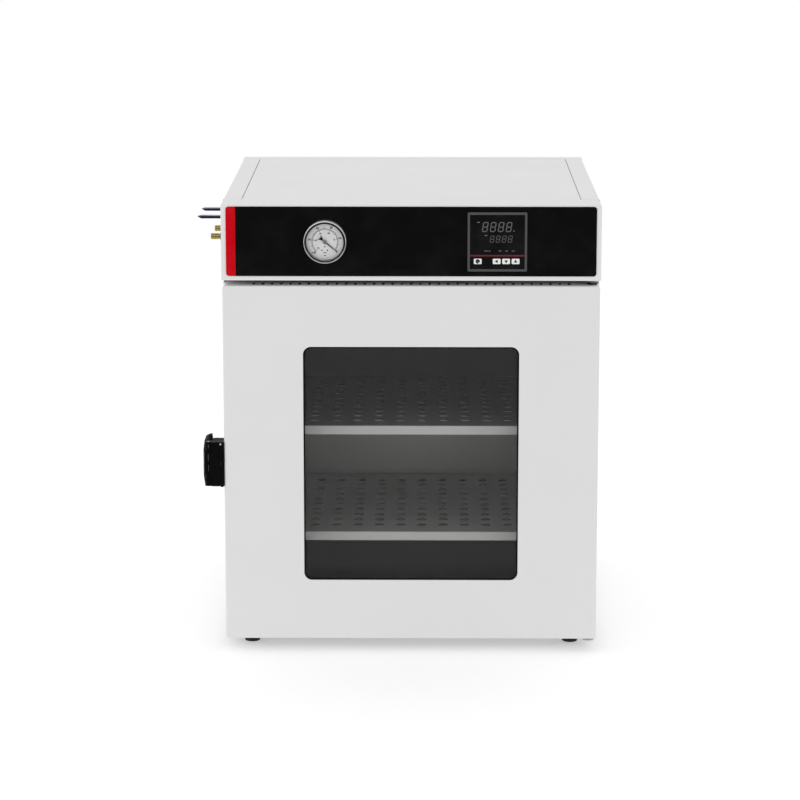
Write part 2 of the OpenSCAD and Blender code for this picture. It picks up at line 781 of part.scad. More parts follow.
// Sheet racks with folded rails, hung on the chamber's studs
module shelf_racks() {
    wall_x = chamber_w / 2 - rack_gap;
    color("lightgray") for (s = [0, 1]) mirror([s, 0, 0]) difference() {
        union() {
            box([wall_x - shelf_t, wall_x], rack_y, rack_z);
            for (z = rail_tops())
                box([wall_x - shelf_t - rail_w, wall_x], rack_y, [z - shelf_t, z]);
        }
        for (p = rack_studs())
            bar_x(p[0], p[1], stud_pin_r + fit, [wall_x - 5, wall_x + 1]);
        // lightening slots between the rails
        for (y = row(4, 85), z = [for (i = [0 : rail_levels - 2])
            rail_tops()[i] + shelf_pitch / 2])
            side_view([wall_x - 5, wall_x + 1])
                translate([(rack_y[0] + rack_y[1]) / 2 + y, z]) rotate(90) slot_outline(30, 54);
    }
}

// Punched shelf with a folded lip at the front and rear
module shelf(z) {
    y = [shelf_y, shelf_y + shelf_d];
    lip_w = shelf_w - 2 * rail_w + 8;
    cols = floor((lip_w - 30) / punch_pitch);
    rows = floor((shelf_d - 40) / punch_pitch);
    color("lightgray") difference() {
        union() {
            box([-shelf_w / 2, shelf_w / 2], y, [z - shelf_t, z]);
            for (lip_y = [y[0], y[1] - shelf_t])
                box([-lip_w / 2, lip_w / 2], [lip_y, lip_y + shelf_t], [z - shelf_lip, z]);
        }
        for (i = row(cols, punch_pitch), j = row(rows, punch_pitch))
            bar_z(i, (y[0] + y[1]) / 2 + j, punch_r, [z - shelf_t - 1, z + 1]);
    }
}

module upper_shelf() {
    shelf(upper_z);
}

module lower_shelf() {
    shelf(lower_z);
}

// ---- Control panel ----

// Outline of the whole fascia, about the middle of the panel
module fascia_outline() {
    round_rect(fascia_w, fascia_h, fascia_r);
}

// Black overlay with the holes for the gauge and the controller
module fascia_panel() {
    color("black") difference() {
        front_view([-fascia_t, 0]) translate([0, panel_cz]) difference() {
            fascia_outline();
            translate([-fascia_w, -fascia_h]) square([fascia_w / 2 + accent_w, 2 * fascia_h]);
        }
        panel_holes([-fascia_t - 1, 1]);
    }
}

// Coloured strip at the left end of the fascia
module accent_strip() {
    color("crimson") front_view([-fascia_t, 0]) translate([0, panel_cz]) intersection() {
        fascia_outline();
        translate([-fascia_w, -fascia_h]) square([fascia_w / 2 + accent_w, 2 * fascia_h]);
    }
}

// Gauge parts, listed from the back: case, dial, pointer, glass and bezel
gauge_glass_t = 2;
gauge_glass_y = gauge_front + 2;
dial_t = 0.8;
dial_r = gauge_d / 2 - 1.6;
arbor_r = 1;
pointer_l = 26;

module gauge_case() {
    color("dimgray") translate([-gauge_x, 0, panel_cz]) difference() {
        union() {
            bar_y(0, 0, gauge_d / 2, [gauge_glass_y + gauge_glass_t, gauge_depth]);
            translate([0, gauge_depth, 0]) rotate([-90, 0, 0]) cylinder(h = 10, r = 9, $fn = 6);
            bar_y(0, 0, 6.5, [gauge_depth + 10, gauge_rear_y()]);
        }
        bar_y(0, 0, dial_r + 0.2, [gauge_glass_y, dial_y + dial_t]);
        bar_y(0, 0, arbor_r + 0.04, [dial_y, 8]);
    }
}

module gauge_dial() {
    color("white") translate([-gauge_x, 0, panel_cz]) difference() {
        bar_y(0, 0, dial_r, [dial_y, dial_y + dial_t]);
        bar_y(0, 0, arbor_r + 0.4, [dial_y - 1, dial_y + dial_t + 1]);
    }
}

// Pointer on its arbor, at zero on the right end of the scale
module gauge_pointer() {
    y = [dial_y - 2.2, dial_y - 1.5];
    color("black") translate([-gauge_x, 0, panel_cz]) {
        bar_y(0, 0, arbor_r, [y[0] - 0.6, 6]);
        bar_y(0, 0, 3, [y[0] - 0.6, y[1]]);
        rotate([0, pointer_angle, 0]) front_view(y) {
            polygon([[0, -1], [pointer_l, -0.35], [pointer_l, 0.35], [0, 1]]);
            polygon([[0, 1], [0, -1], [-5, -1], [-12, -4.2], [-9.5, 0], [-12, 4.2], [-5, 1]]);
        }
    }
}
// Turn of the pointer below the horizontal at zero
pointer_angle = 40;

module gauge_glass() {
    color("lightcyan") translate([-gauge_x, 0, panel_cz])
        bar_y(0, 0, gauge_d / 2, [gauge_glass_y, gauge_glass_y + gauge_glass_t]);
}

// Rolled bezel: a stepped ring that covers the glass and meets the fascia
module gauge_bezel() {
    r = bezel_d / 2;
    color("silver") translate([-gauge_x, -fascia_t, panel_cz]) rotate([90, 0, 0])
        rotate_extrude($fn = 96) difference() {
            union() {
                translate([gauge_d / 2 + fit, 0]) square([r - gauge_d / 2 - fit, bezel_proud - 2]);
                translate([r - bezel_w, bezel_proud - 2]) square([bezel_w - 2, 2]);
                translate([r - 2, bezel_proud - 2]) intersection() {
                    circle(2, $fn = 32);
                    square(2);
                }
            }
            // rolled groove near the fascia
            translate([r + 0.4, 3]) circle(1, $fn = 32);
        }
}

// Controller housing with its square rim, clipped into the cut-out
module controller_case() {
    body_s = cutout_s - 2 * fit;
    color("dimgray") translate([controller_x, 0, panel_cz]) difference() {
        union() {
            front_view([-fascia_t - controller_proud, -fascia_t])
                round_rect(controller_s, controller_s, 2);
            front_view([-fascia_t, controller_depth]) square(body_s, center = true);
        }
        front_view([-fascia_t - controller_proud - 1, face_y + face_t])
            square(controller_s - 2 * controller_rim, center = true);
        front_view([face_y, controller_depth - 3]) square(pocket_s, center = true);
        // cooling slots through the two sides
        for (z = row(6, 11), x = [-1, 1]) translate([x * body_s / 2, 0, z])
            box([-5, 5], [25, 60], [-1.5, 1.5]);
    }
}

// Places of the four keys, set key first, measured from the controller's middle
function key_x(i) = i == 0 ? -set_key_x : (i - 1) * key_pitch - 1;

// Dark front plate with four key holes
module controller_face() {
    s = controller_s - 2 * controller_rim - 0.2;
    color("black") translate([controller_x, 0, 0]) difference() {
        front_view([face_y, face_y + face_t]) translate([0, panel_cz]) square(s, center = true);
        for (i = [0 : 3]) front_view([face_y - 1, face_y + face_t + 1])
            translate([key_x(i), key_z])
            round_rect(key_w + 2 * key_fit, key_h + 2 * key_fit, 1.5 + key_fit);
    }
}

key_proud = 0.8;
key_back_y = face_y + face_t + 3;
switch_gap = key_travel + 0.3;

// Circuit board with two rows of digits and four tactile switches
module display_module() {
    board_y = key_back_y + switch_gap + 2;
    color("darkgreen") translate([controller_x, 0, 0]) {
        translate([0, 0, panel_cz]) box([-pocket_s / 2 + 0.2, pocket_s / 2 - 0.2],
            [board_y, board_y + 1.6], [-pocket_s / 2 + 0.2, pocket_s / 2 - 0.2]);
        for (d = [[0, 19, 56, 20], [6, -4, 44, 15]]) translate([d[0], 0, panel_cz + d[1]])
            box([-d[2] / 2, d[2] / 2], [face_y + face_t, board_y], [-d[3] / 2, d[3] / 2]);
        for (i = [0 : 3]) translate([key_x(i), 0, key_z])
            box([-3, 3], [key_back_y + switch_gap, board_y], [-3, 3]);
    }
}

// One key: cap through the front plate, with a collar behind it
module panel_key(i) {
    collar = 1.2;
    color("whitesmoke") translate([controller_x + key_x(i), 0, key_z]) {
        front_view([face_y - key_proud, key_back_y]) round_rect(key_w, key_h, 1.5);
        front_view([face_y + face_t + 0.2, face_y + face_t + 1.2])
            round_rect(key_w + 2 * collar, key_h + 2 * collar, 1.5);
    }
}
module set_key() {
    panel_key(0);
}
module shift_key() {
    panel_key(1);
}
module down_key() {
    panel_key(2);
}
module up_key() {
    panel_key(3);
}

// Frame that grips the controller from behind the panel
module controller_clamp() {
    s = cutout_s - 2 * fit + 0.4;
    color("black") translate([controller_x, 0, panel_cz]) difference() {
        front_view([sheet_t, sheet_t + 9]) square(s + 10, center = true);
        front_view([sheet_t - 1, sheet_t + 10]) square(s, center = true);
    }
}

// ---- Parts on the deck ----

sink_x = bank_x;
sink_y = [casing_d - 50, casing_d - 45];
sink_w = 80;
sink_h = 80;
sink_fin_l = 28;
deck_z = control_z + sheet_t;

// Finned aluminium block behind the louvres
module heat_sink() {
    color("silver") plan_view([deck_z, deck_z + sink_h]) translate([sink_x, 0]) {
        translate([-sink_w / 2, sink_y[0]]) square([sink_w, 5]);
        for (x = row(9, (sink_w - 2) / 8)) translate([x - 1, sink_y[1]]) square([2, sink_fin_l]);
    }
}

module solid_state_relay() {
    color("ivory") translate([sink_x, sink_y[0], deck_z + 40]) difference() {
        box([-22.5, 22.5], [-25, 0], [-29, 29]);
        for (x = [-1, 1], z = [-1, 1]) bar_y(x * 14, z * 22, 5, [-26, -15]);
    }
}

module terminal_block() {
    color("wheat") translate([20, sink_y[0] - 90, deck_z]) difference() {
        side_view([-60, 60]) polygon([[0, 0], [24, 0], [24, 9], [17, 9], [17, 18], [7, 18], [7, 9],
            [0, 9]]);
        for (x = row(10, 12)) box([x - 4, x + 4], [-1, 5], [2, 10]);
        for (x = row(10, 12)) bar_z(x, 12, 3, [12, 19]);
    }
}

// Manual-reset disc on the chamber roof, between two ribs
module overheat_thermostat() {
    y = (rib_places()[1] + rib_t + rib_places()[2]) / 2;
    z = chamber_z(chamber_h) + chamber_t;
    color("tan") translate([60, y, z]) {
        cylinder(h = 6, r = 12.7);
        cylinder(h = 9, r = 8);
        for (x = [-1, 1]) box([x * 4 - 0.4, x * 4 + 0.4], [-3, 3], [9, rib_h]);
    }
}

// ---- Valves ----

// Two identical ball valve bodies, each with a nut inside the side panel
module valve_bodies() {
    r = spigot_r + 3;
    hose_x = -half_w - valve_reach;
    bonnet_z = valve_z + bonnet_rise;
    color("goldenrod") for (y = valve_places()) difference() {
        union() {
            bar_x(y, valve_z, r, [-half_w, -half_w + shank_in]);
            translate([-half_w + sheet_t, y, valve_z]) rotate([0, 90, 0])
                cylinder(h = 6, r = r + 3.5, $fn = 6);
            bar_x(y, valve_z, r + 4, [-half_w - 3, -half_w]);
            bar_x(y, valve_z, r + 1, [hose_x + spigot_l + 4, -half_w - 3]);
            translate([hose_x + spigot_l, y, valve_z]) rotate([0, 90, 0])
                cylinder(h = 5, r = r + 1.5, $fn = 6);
            bar_x(y, valve_z, spigot_r, [hose_x, hose_x + spigot_l]);
            bar_z(valve_x, y, r - 1, [valve_z, bonnet_z]);
            translate([valve_x, y, bonnet_z - 7]) cylinder(h = 5, r = r + 1, $fn = 6);
        }
        bar_x(y, valve_z, pipe_bore_r, [hose_x - 1, -half_w + shank_in + 1]);
        bar_z(valve_x, y, stem_r + stem_fit, [valve_z + pipe_bore_r + 2, bonnet_z + 1]);
    }
}

// Lever on its stem, lying along the valve
module valve_lever(y) {
    z = valve_z + lever_rise;
    tip_x = -half_w - lever_reach;
    end_x = valve_x + lever_w;
    top = lever_t / 2;
    color("midnightblue") {
        intersection() {
            plan_view([z - top, z + top]) {
                translate([valve_x, y]) circle(lever_w / 2 + 1.5);
                translate([tip_x + lever_w / 2, y - lever_w / 2])
                    square([valve_x - tip_x - lever_w / 2, lever_w]);
                translate([tip_x + lever_w / 2, y]) circle(lever_w / 2);
            }
            // the tip is pressed to a wedge
            front_view([y - lever_w, y + lever_w]) translate([0, z]) polygon([
                [tip_x, top * 0.4], [tip_x + 5.5, top + 0.1], [end_x, top + 0.1],
                [end_x, -top - 0.1], [tip_x + 7, -top - 0.1]
            ]);
        }
        bar_z(valve_x, y, stem_r, [valve_z + pipe_bore_r + 3, z + lever_t / 2 + 4]);
        translate([valve_x, y, z + lever_t / 2]) cylinder(h = 3, r = stem_r + 2.5, $fn = 6);
    }
}
module vacuum_valve_lever() {
    valve_lever(valve_places()[0]);
}
module vent_valve_lever() {
    valve_lever(valve_places()[1]);
}

// ---- Rear ----

// Mains inlet: flanged body with a shrouded socket and three pins
module power_inlet() {
    face = casing_d + inlet_proud;
    color("black") translate([inlet_x, 0, inlet_z]) difference() {
        union() {
            front_view([casing_d, casing_d + 2.5]) round_rect(inlet_w + 22, inlet_h + 5, 4);
            front_view([casing_d + 2, face]) round_rect(inlet_w + 3, inlet_h + 3, 3);
            front_view([casing_d - 26, casing_d]) round_rect(inlet_w - fit, inlet_h - fit, 2);
        }
        front_view([face - 18, face + 1]) round_rect(inlet_w - 3, inlet_h - 4, 2.5);
    }
    color("silver") translate([inlet_x, 0, inlet_z]) for (p = [[-7, -2], [0, 2], [7, -2]])
        box([p[0] - 1, p[0] + 1], [casing_d - 38, face - 6], [p[1] - 2, p[1] + 2]);
}

// Frame and housing of the rocker switch
module switch_housing() {
    color("black") translate([switch_x, 0, inlet_z]) difference() {
        union() {
            front_view([casing_d, casing_d + 2]) round_rect(switch_w + 2.5, switch_h + 2.5, 1.5);
            front_view([casing_d - 18, casing_d]) square([switch_w - fit, switch_h - fit],
                center = true);
        }
        front_view([casing_d - 8, casing_d + 3])
            square([switch_w - 4, switch_h - 2.8], center = true);
    }
}

rocker_w = switch_w - 4.6;
rocker_h = switch_h - 3.4;
rocker_y = casing_d - 3;
rocker_tilt = 8;

// Rocker that tips about an upright axle, shown in its off position
module power_rocker() {
    color("crimson") translate([switch_x, rocker_y, inlet_z - rocker_h / 2])
        rotate([0, 0, rocker_tilt]) linear_extrude(rocker_h) difference() {
            circle(rocker_w / 2);
            translate([0, rocker_w / 2 + 6]) circle(10.5);
            translate([-rocker_w, -rocker_w - 3]) square([2 * rocker_w, rocker_w]);
        }
}

// ---- Hinge ----

hinge_screw_step = 17;
function top_hinge_screw() = mouth_y + 8;
function bottom_hinge_screws() = [mouth_y + 18, mouth_y + 44];

// Plate with a round nose and an upright pin, lying between two Z planes
module hinge_plate(z, end_y, pin, holes) {
    w = hinge_plate_w;
    difference() {
        union() {
            plan_view(z) translate([hinge_x, hinge_y]) {
                circle(w / 2);
                translate([-w / 2, 0]) square([w, end_y - hinge_y]);
            }
            bar_z(hinge_x, hinge_y, hinge_pin_r, pin);
        }
        for (y = holes) bar_z(hinge_x, y, screw_r + fit, [z[0] - 1, z[1] + 1]);
    }
}

// Upper plate under the control box and lower plate under the base pan
module hinge_brackets() {
    color("silver") {
        hinge_plate([control_z - hinge_t, control_z], mouth_y + 16,
            [door_z1 + 2 - hinge_pin_l, control_z], [hinge_y + hinge_screw_step, top_hinge_screw()]);
        hinge_plate([foot_h - hinge_t, foot_h], mouth_y + 54,
            [foot_h - hinge_t, door_z0 - 2 + hinge_pin_l], bottom_hinge_screws());
    }
}

// Flanged bushes in the door's top and bottom edges
module hinge_bushes() {
    r = hinge_pin_r + hinge_fit;
    flange = door_lift - fit;
    color("goldenrod") {
        for (top = [0, 1]) translate([hinge_x, hinge_y, top ? door_z1 : door_z0])
            mirror([0, 0, 1 - top]) difference() {
                union() {
                    translate([0, 0, -hinge_pin_l - 1]) cylinder(h = hinge_pin_l + 1, r = r + 2.4);
                    cylinder(h = flange, r = r + 4.5);
                }
                translate([0, 0, -hinge_pin_l - 2]) cylinder(h = hinge_pin_l + 8, r = r);
            }
    }
}

// ---- Door ----

// Places of the slots along the door's top edge
module vent_slots() {
    for (x = row(vent_count, vent_pitch))
        plan_view([door_z1 - 4, door_z1 + 1])
            translate([x, door_y0 + fold_r + 9 + vent_l / 2]) slot_outline(vent_w, vent_l);
}

// Outer skin: folded tray with the window, the vent slots and the bush holes
module door_skin() {
    bush_r = hinge_pin_r + hinge_fit + 2.4;
    color("gainsboro") difference() {
        folded_tray(door_w, door_h, [door_y0, door_y1], door_cz, fold_r, door_corner_r);
        front_view([door_y0 - 1, door_y0 + sheet_t + 1]) translate([0, door_cz])
            round_rect(window_w, window_h, window_r);
        vent_slots();
        for (z = [door_z0, door_z1]) bar_z(hinge_x, hinge_y, bush_r + 0.05, [z - 3, z + 3]);
        for (z = latch_screw_heights())
            bar_x(latch_screw_y(), z, screw_r + fit, [-door_w / 2 - 1, -door_w / 2 + 3]);
    }
}

// Places of the screws around the back plate
function back_screws() = [
    for (i = row(3, (door_h - 60) / 2), s = [-1, 1]) [s * (glass_w / 2 + 14), i * 0.92]
];

// Rear sheet of the door, whose inner edge keeps the glass from falling out
module door_back_plate() {
    w = door_w - 2 * sheet_t;
    h = door_h - 2 * sheet_t;
    color("silver") difference() {
        rect_back(w, h);
        for (p = back_screws()) bar_y(p[0], door_cz + p[1], screw_r + fit, [lip_y - 1, door_y1 + 1]);
    }
}
module rect_back(w, h) {
    translate([0, 0, door_cz]) rect_ring(w, h, door_corner_r - sheet_t,
        glass_w - 2 * glass_hold, glass_h - 2 * glass_hold, 6, [lip_y, door_y1]);
}

// Rubber bead between the skin and the outer pane
module window_seal() {
    y = door_y0 + sheet_t;
    w = window_w + 2 * pane_lap;
    h = window_h + 2 * pane_lap;
    color("black") translate([0, 0, door_cz])
        rect_ring(w, h, 4, w - 2 * window_seal_w, h - 2 * window_seal_w, window_r,
            [y, y + window_seal_t]);
}

// Tinted outer pane behind the window opening
module outer_window() {
    y = door_y0 + sheet_t + window_seal_t;
    color("dimgray") translate([0, 0, door_cz]) front_view([y, y + pane_t])
        round_rect(window_w + 2 * pane_lap, window_h + 2 * pane_lap, 4);
}

// Thick toughened glass that seals on the gasket
module inner_glass() {
    color("lightcyan") translate([0, 0, door_cz]) front_view([glass_y0, glass_y1])
        round_rect(glass_w, glass_h, 3);
}

// Welded frame behind the skin: a sight tunnel, and a tray for glass and springs
module glass_frame() {
    w = glass_w + 2 * frame_edge;
    h = glass_h + 2 * frame_edge;
    in_w = glass_w - 2 * frame_lip;
    in_h = glass_h - 2 * frame_lip;
    pane_w = window_w + 2 * pane_lap;
    pane_h = window_h + 2 * pane_lap;
    t = sheet_t;
    color("dimgray") difference() {
        translate([0, 0, door_cz]) union() {
            difference() {
                rect_ring(w, h, 6, in_w, in_h, 4, [frame_y0, lip_y]);
                front_view([frame_y0 + frame_front_t, lip_y + 1])
                    round_rect(glass_w + 1, glass_h + 1, 3.5);
            }
            // sight tunnel from the tray to the outer pane
            rect_ring(pane_w, pane_h, 4, pane_w - 2 * t, pane_h - 2 * t, 4 - t,
                [liner_y0, frame_y0 + t]);
            rect_ring(in_w + 2, in_h + 2, 4, pane_w - 2 * t, pane_h - 2 * t, 4 - t,
                [frame_y0, frame_y0 + t]);
        }
        for (p = back_screws()) bar_y(p[0], door_cz + p[1], screw_r + 0.05, [lip_y - 12, lip_y + 1]);
    }
}

// One bowed strip, its ends on y = 0 and its crown at y = spring_h - spring_t
module bowed_spring(w) {
    rise = spring_h - 2 * spring_t;
    bow_r = (spring_l * spring_l / 4 + rise * rise) / (2 * rise);
    linear_extrude(w, center = true) intersection() {
        translate([0, spring_h - 0.1 - bow_r - spring_t]) difference() {
            circle(bow_r + spring_t, $fn = 128);
            circle(bow_r, $fn = 128);
        }
        translate([-spring_l / 2, 0.05]) square([spring_l, spring_h]);
    }
}

// Two bowed springs along each edge of the inner glass
module glass_springs() {
    y = frame_y0 + frame_front_t;
    w = frame_lip - 2;
    color("silver") translate([0, y, door_cz]) for (a = [-1, 1], b = [-1, 1]) {
        translate([a * glass_w / 4, 0, b * (glass_h / 2 - frame_lip / 2)]) bowed_spring(w);
        translate([b * (glass_w / 2 - frame_lip / 2), 0, a * glass_h / 4])
            rotate([0, 90, 0]) bowed_spring(w);
    }
}

// ---- Latch ----

latch_z = [latch_cz - latch_h / 2, latch_cz + latch_h / 2];
knuckle_z = [latch_cz - 16, latch_cz + 20];
tip_y = door_y0 - 1 + latch_lever_d;
curve_x = latch_x0 + latch_curve_r;
curve_y = latch_pin_y + 21;

function latch_screw_y() = door_y0 + 16;
function latch_screw_heights() = [latch_cz - 24, latch_cz + 24];

// Short upright slots in the front of the knuckles, through which the pin is greased
module latch_grooves() {
    for (g = [[-14, 12.5], [4, 13.4], [26, 7]])
        box([latch_pin_x - 1.1, latch_pin_x + 1.1], [door_y0 - 3, latch_pin_y - latch_pin_r + 0.5],
            [latch_cz + g[0], latch_cz + g[0] + g[1]]);
}

// Open-backed block on the door's edge, with a knuckle above and below the lever's
module latch_housing() {
    y = [door_y0 - 2, door_y0 - 2 + latch_d];
    right_x = -door_w / 2;
    t = latch_t;
    color("black") difference() {
        union() {
            box([latch_block_x, right_x], y, latch_z);
            // cheek that closes the groove in front of the lever's knuckle
            difference() {
                box([latch_pin_x + 2.2, latch_block_x + 1], [y[0], latch_pin_y],
                    [knuckle_z[0] - fit - 1, knuckle_z[1] + fit + 1]);
                bar_z(latch_pin_x, latch_pin_y, latch_barrel_r + 0.4,
                    [knuckle_z[0] - fit, knuckle_z[1] + fit]);
            }
            // rest under the corner by the door
            bar_y(right_x - 3.4, latch_z[0] + 1.6, 3, [y[0], y[0] + 12]);
            for (z = [[latch_z[0], knuckle_z[0] - fit], [knuckle_z[1] + fit, latch_z[1]]]) {
                bar_z(latch_pin_x, latch_pin_y, latch_barrel_r, z);
                box([latch_pin_x, latch_block_x + 1], [latch_pin_y - latch_barrel_r,
                    latch_pin_y + latch_barrel_r], z);
            }
        }
        box([latch_block_x + t, right_x - t], [y[0] + t, y[1] + 1],
            [latch_z[0] + t, latch_z[1] - t]);
        bar_z(latch_pin_x, latch_pin_y, latch_pin_r + 0.02, [latch_z[0] + 2, latch_z[1] + 1]);
        for (z = latch_screw_heights())
            bar_x(latch_screw_y(), z, screw_r + 0.05, [right_x - t - 1, right_x + 1]);
        // two sight slots near the door
        for (s = [[31.5, 3], [-2, 7]])
            box([right_x - t - 3.5, right_x - t - 1], [y[0] - 1, y[0] + t + 1],
                [latch_cz + s[0], latch_cz + s[0] + s[1]]);
        latch_grooves();
    }
}

module latch_pin() {
    color("silver") bar_z(latch_pin_x, latch_pin_y, latch_pin_r, [latch_z[0] + 2, latch_z[1]]);
}

// Body bowed in plan and in front view, from which the lever's shell is cut
module bowed_body(inset) {
    intersection() {
        translate([curve_x, curve_y, latch_z[0]])
            cylinder(h = latch_h, r = latch_curve_r - inset, $fn = 96);
        translate([latch_x0 + latch_bow_r, 0, latch_cz]) rotate([-90, 0, 0])
            cylinder(h = tip_y + 10, r = latch_bow_r - inset, $fn = 96);
        box([latch_x0 - 5, latch_pin_x + 14], [door_y0 - 2, tip_y + 9], latch_z);
    }
}

// Curved lever with its knuckle at the front, a finger lip at the back and a claw
module latch_lever() {
    root_y = latch_pin_y + latch_barrel_r + 1.4;
    tip_x = curve_x - sqrt(pow(latch_curve_r - latch_t / 2, 2) - pow(tip_y - curve_y, 2));
    color("black") difference() {
        union() {
            difference() {
                bowed_body(0);
                bowed_body(latch_t);
                box([latch_x0 - 9, latch_pin_x + 20], [door_y0 - 9, root_y], [0, top_z]);
                box([latch_x0 - 9, latch_pin_x + 20], [tip_y, tip_y + 20], [0, top_z]);
            }
            // knuckle and the web that joins it to the shell
            bar_z(latch_pin_x, latch_pin_y, latch_barrel_r, knuckle_z);
            intersection() {
                bowed_body(0);
                plan_view(knuckle_z) polygon([
                    [latch_x0 - 2, latch_pin_y - latch_barrel_r + 1],
                    [latch_pin_x, latch_pin_y - latch_barrel_r],
                    [latch_pin_x, latch_pin_y + latch_barrel_r],
                    [latch_x0 + latch_t + 1, root_y + 8],
                    [latch_x0 - 2, root_y + 8]
                ]);
            }
            // finger lip
            bar_z(tip_x, tip_y - 1, latch_t / 2 + 0.6, [latch_z[0] + 4, latch_z[1] - 4]);
            // claw that reaches behind the keeper's bar
            box([tip_x - 1, keeper_x() - keeper_bar_r - 0.6],
                [tip_y - 4, tip_y - 0.5], [latch_cz - 10, latch_cz + 10]);
        }
        bar_z(latch_pin_x, latch_pin_y, latch_pin_r + latch_fit, [knuckle_z[0] - 1, knuckle_z[1] + 1]);
        latch_grooves();
    }
}

keeper_t = 2;
function keeper_x() = -half_w - 10;
function keeper_y() = tip_y - 9;
function keeper_screws() = [latch_cz - 14, latch_cz + 14];

// Base with two ears that hold an upright bar, on the left side panel
module latch_keeper() {
    y = [keeper_y() - 4.5, keeper_y() + 22];
    color("silver") difference() {
        union() {
            box([-half_w - keeper_t, -half_w], y, [latch_cz - 22, latch_cz + 22]);
            for (s = [-1, 1]) translate([0, 0, latch_cz + s * 17]) {
                box([keeper_x(), -half_w - 1], [keeper_y() - 4.5, keeper_y() + 4.5], [-2, 2]);
                bar_z(keeper_x(), keeper_y(), 4.5, [-2, 2]);
            }
            bar_z(keeper_x(), keeper_y(), keeper_bar_r, [latch_cz - 18, latch_cz + 18]);
        }
        for (z = keeper_screws())
            bar_x(keeper_y() + 14, z, screw_r + fit, [-half_w - 3, -half_w + 1]);
    }
}

// ---- Feet and fasteners ----

stud_in = 9;

// Threaded studs with a nut above the base pan
module foot_studs() {
    color("silver") for (p = foot_places()) {
        bar_z(p[0], p[1], stud_r, [pad_h - 8, foot_h + stud_in]);
        translate([p[0], p[1], foot_h + sheet_t]) cylinder(h = stud_in - sheet_t - 2,
            r = stud_r * 1.85, $fn = 6);
        translate([p[0], p[1], pad_h]) cylinder(h = foot_h - pad_h, r = stud_r * 1.85, $fn = 6);
    }
}

// Moulded rubber pads, wider at the top
module rubber_feet() {
    color("black") for (p = foot_places()) translate([p[0], p[1], 0]) difference() {
        union() {
            cylinder(h = pad_h - 3, r1 = foot_r, r2 = foot_r + 2);
            translate([0, 0, pad_h - 3]) cylinder(h = 3, r = foot_r + 2);
        }
        translate([0, 0, pad_h - 8]) cylinder(h = 9, r = stud_r);
    }
}

// A pan head screw along +Z, its head above z = 0
module pan_screw(l) {
    translate([0, 0, -l]) cylinder(h = l, r = screw_r);
    cylinder(h = screw_r * 0.7, r = screw_r * 1.9);
    translate([0, 0, screw_r * 0.7]) cylinder(h = screw_r * 0.4, r1 = screw_r * 1.9, r2 = screw_r);
}

// Screws of the rear cover, the hinge plates and the keeper
module cover_screws() {
    color("silver") {
        for (s = [-1, 1], z = screw_heights())
            translate([s * (half_w - return_w / 2), casing_d, z]) rotate([-90, 0, 0]) pan_screw(8);
        for (y = [hinge_y + 17, top_hinge_screw()])
            bar_z(hinge_x, y, screw_r, [control_z - hinge_t, control_z + 6]);
        for (y = bottom_hinge_screws())
            bar_z(hinge_x, y, screw_r, [foot_h - hinge_t, foot_h + 8]);
        for (z = keeper_screws())
            translate([-half_w - keeper_t, keeper_y() + 14, z]) rotate([0, -90, 0])
                pan_screw(keeper_t + sheet_t + 1.2);
    }
}

// Screws of the door's back plate and of the latch housing
module door_screws() {
    color("silver") {
        for (p = back_screws())
            translate([p[0], door_y1, door_cz + p[1]]) rotate([-90, 0, 0]) pan_screw(10);
        for (z = latch_screw_heights())
            translate([-door_w / 2 + sheet_t, latch_screw_y(), z]) rotate([0, 90, 0])
                pan_screw(sheet_t + latch_t);
    }
}

// Puts a piece in the frame whose origin lies under the middle of the oven
module place() {
    translate([-frame_x, -frame_y, 0]) children();
}

place() control_front_frame();
place() side_panel_left();
place() side_panel_right();
place() top_cover();
place() rear_cover();
place() base_pan();
place() deck_plate();
place() front_frame();
place() chamber();
place() door_gasket();
place() insulation();
place() heater_pads();
place() temperature_probe();
place() shelf_racks();
place() fascia_panel();
place() accent_strip();
place() gauge_case();
place() gauge_bezel();
place() gauge_dial();
place() gauge_glass();
place() controller_case();
place() controller_face();
place() display_module();
place() controller_clamp();
place() solid_state_relay();
place() heat_sink();
place() terminal_block();
place() overheat_thermostat();
place() chamber_pipes();
place() gauge_line();
place() valve_bodies();
place() power_inlet();
place() switch_housing();
place() hinge_brackets();
place() latch_keeper();
place() foot_studs();
place() rubber_feet();
place() cover_screws();
place() door_skin();
place() door_back_plate();
place() outer_window();
place() window_seal();
place() inner_glass();
place() glass_frame();
place() glass_springs();
place() hinge_bushes();
place() latch_housing();
place() latch_pin();
place() door_screws();
place() latch_lever();
place() vacuum_valve_lever();
place() vent_valve_lever();
place() set_key();
place() shift_key();
place() down_key();
place() up_key();
place() gauge_pointer();
place() upper_shelf();
place() lower_shelf();
place() power_rocker();
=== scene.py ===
# %% [markdown]
# # A bench vacuum oven, dressed for its portrait
# The construction is fixed already: every sheet, pin and pane comes in from the frame at
# its real size. This lesson gives the pieces their edges, finishes, prints and light.

import json
import math

import bmesh
import bpy
from mathutils import Matrix, Vector


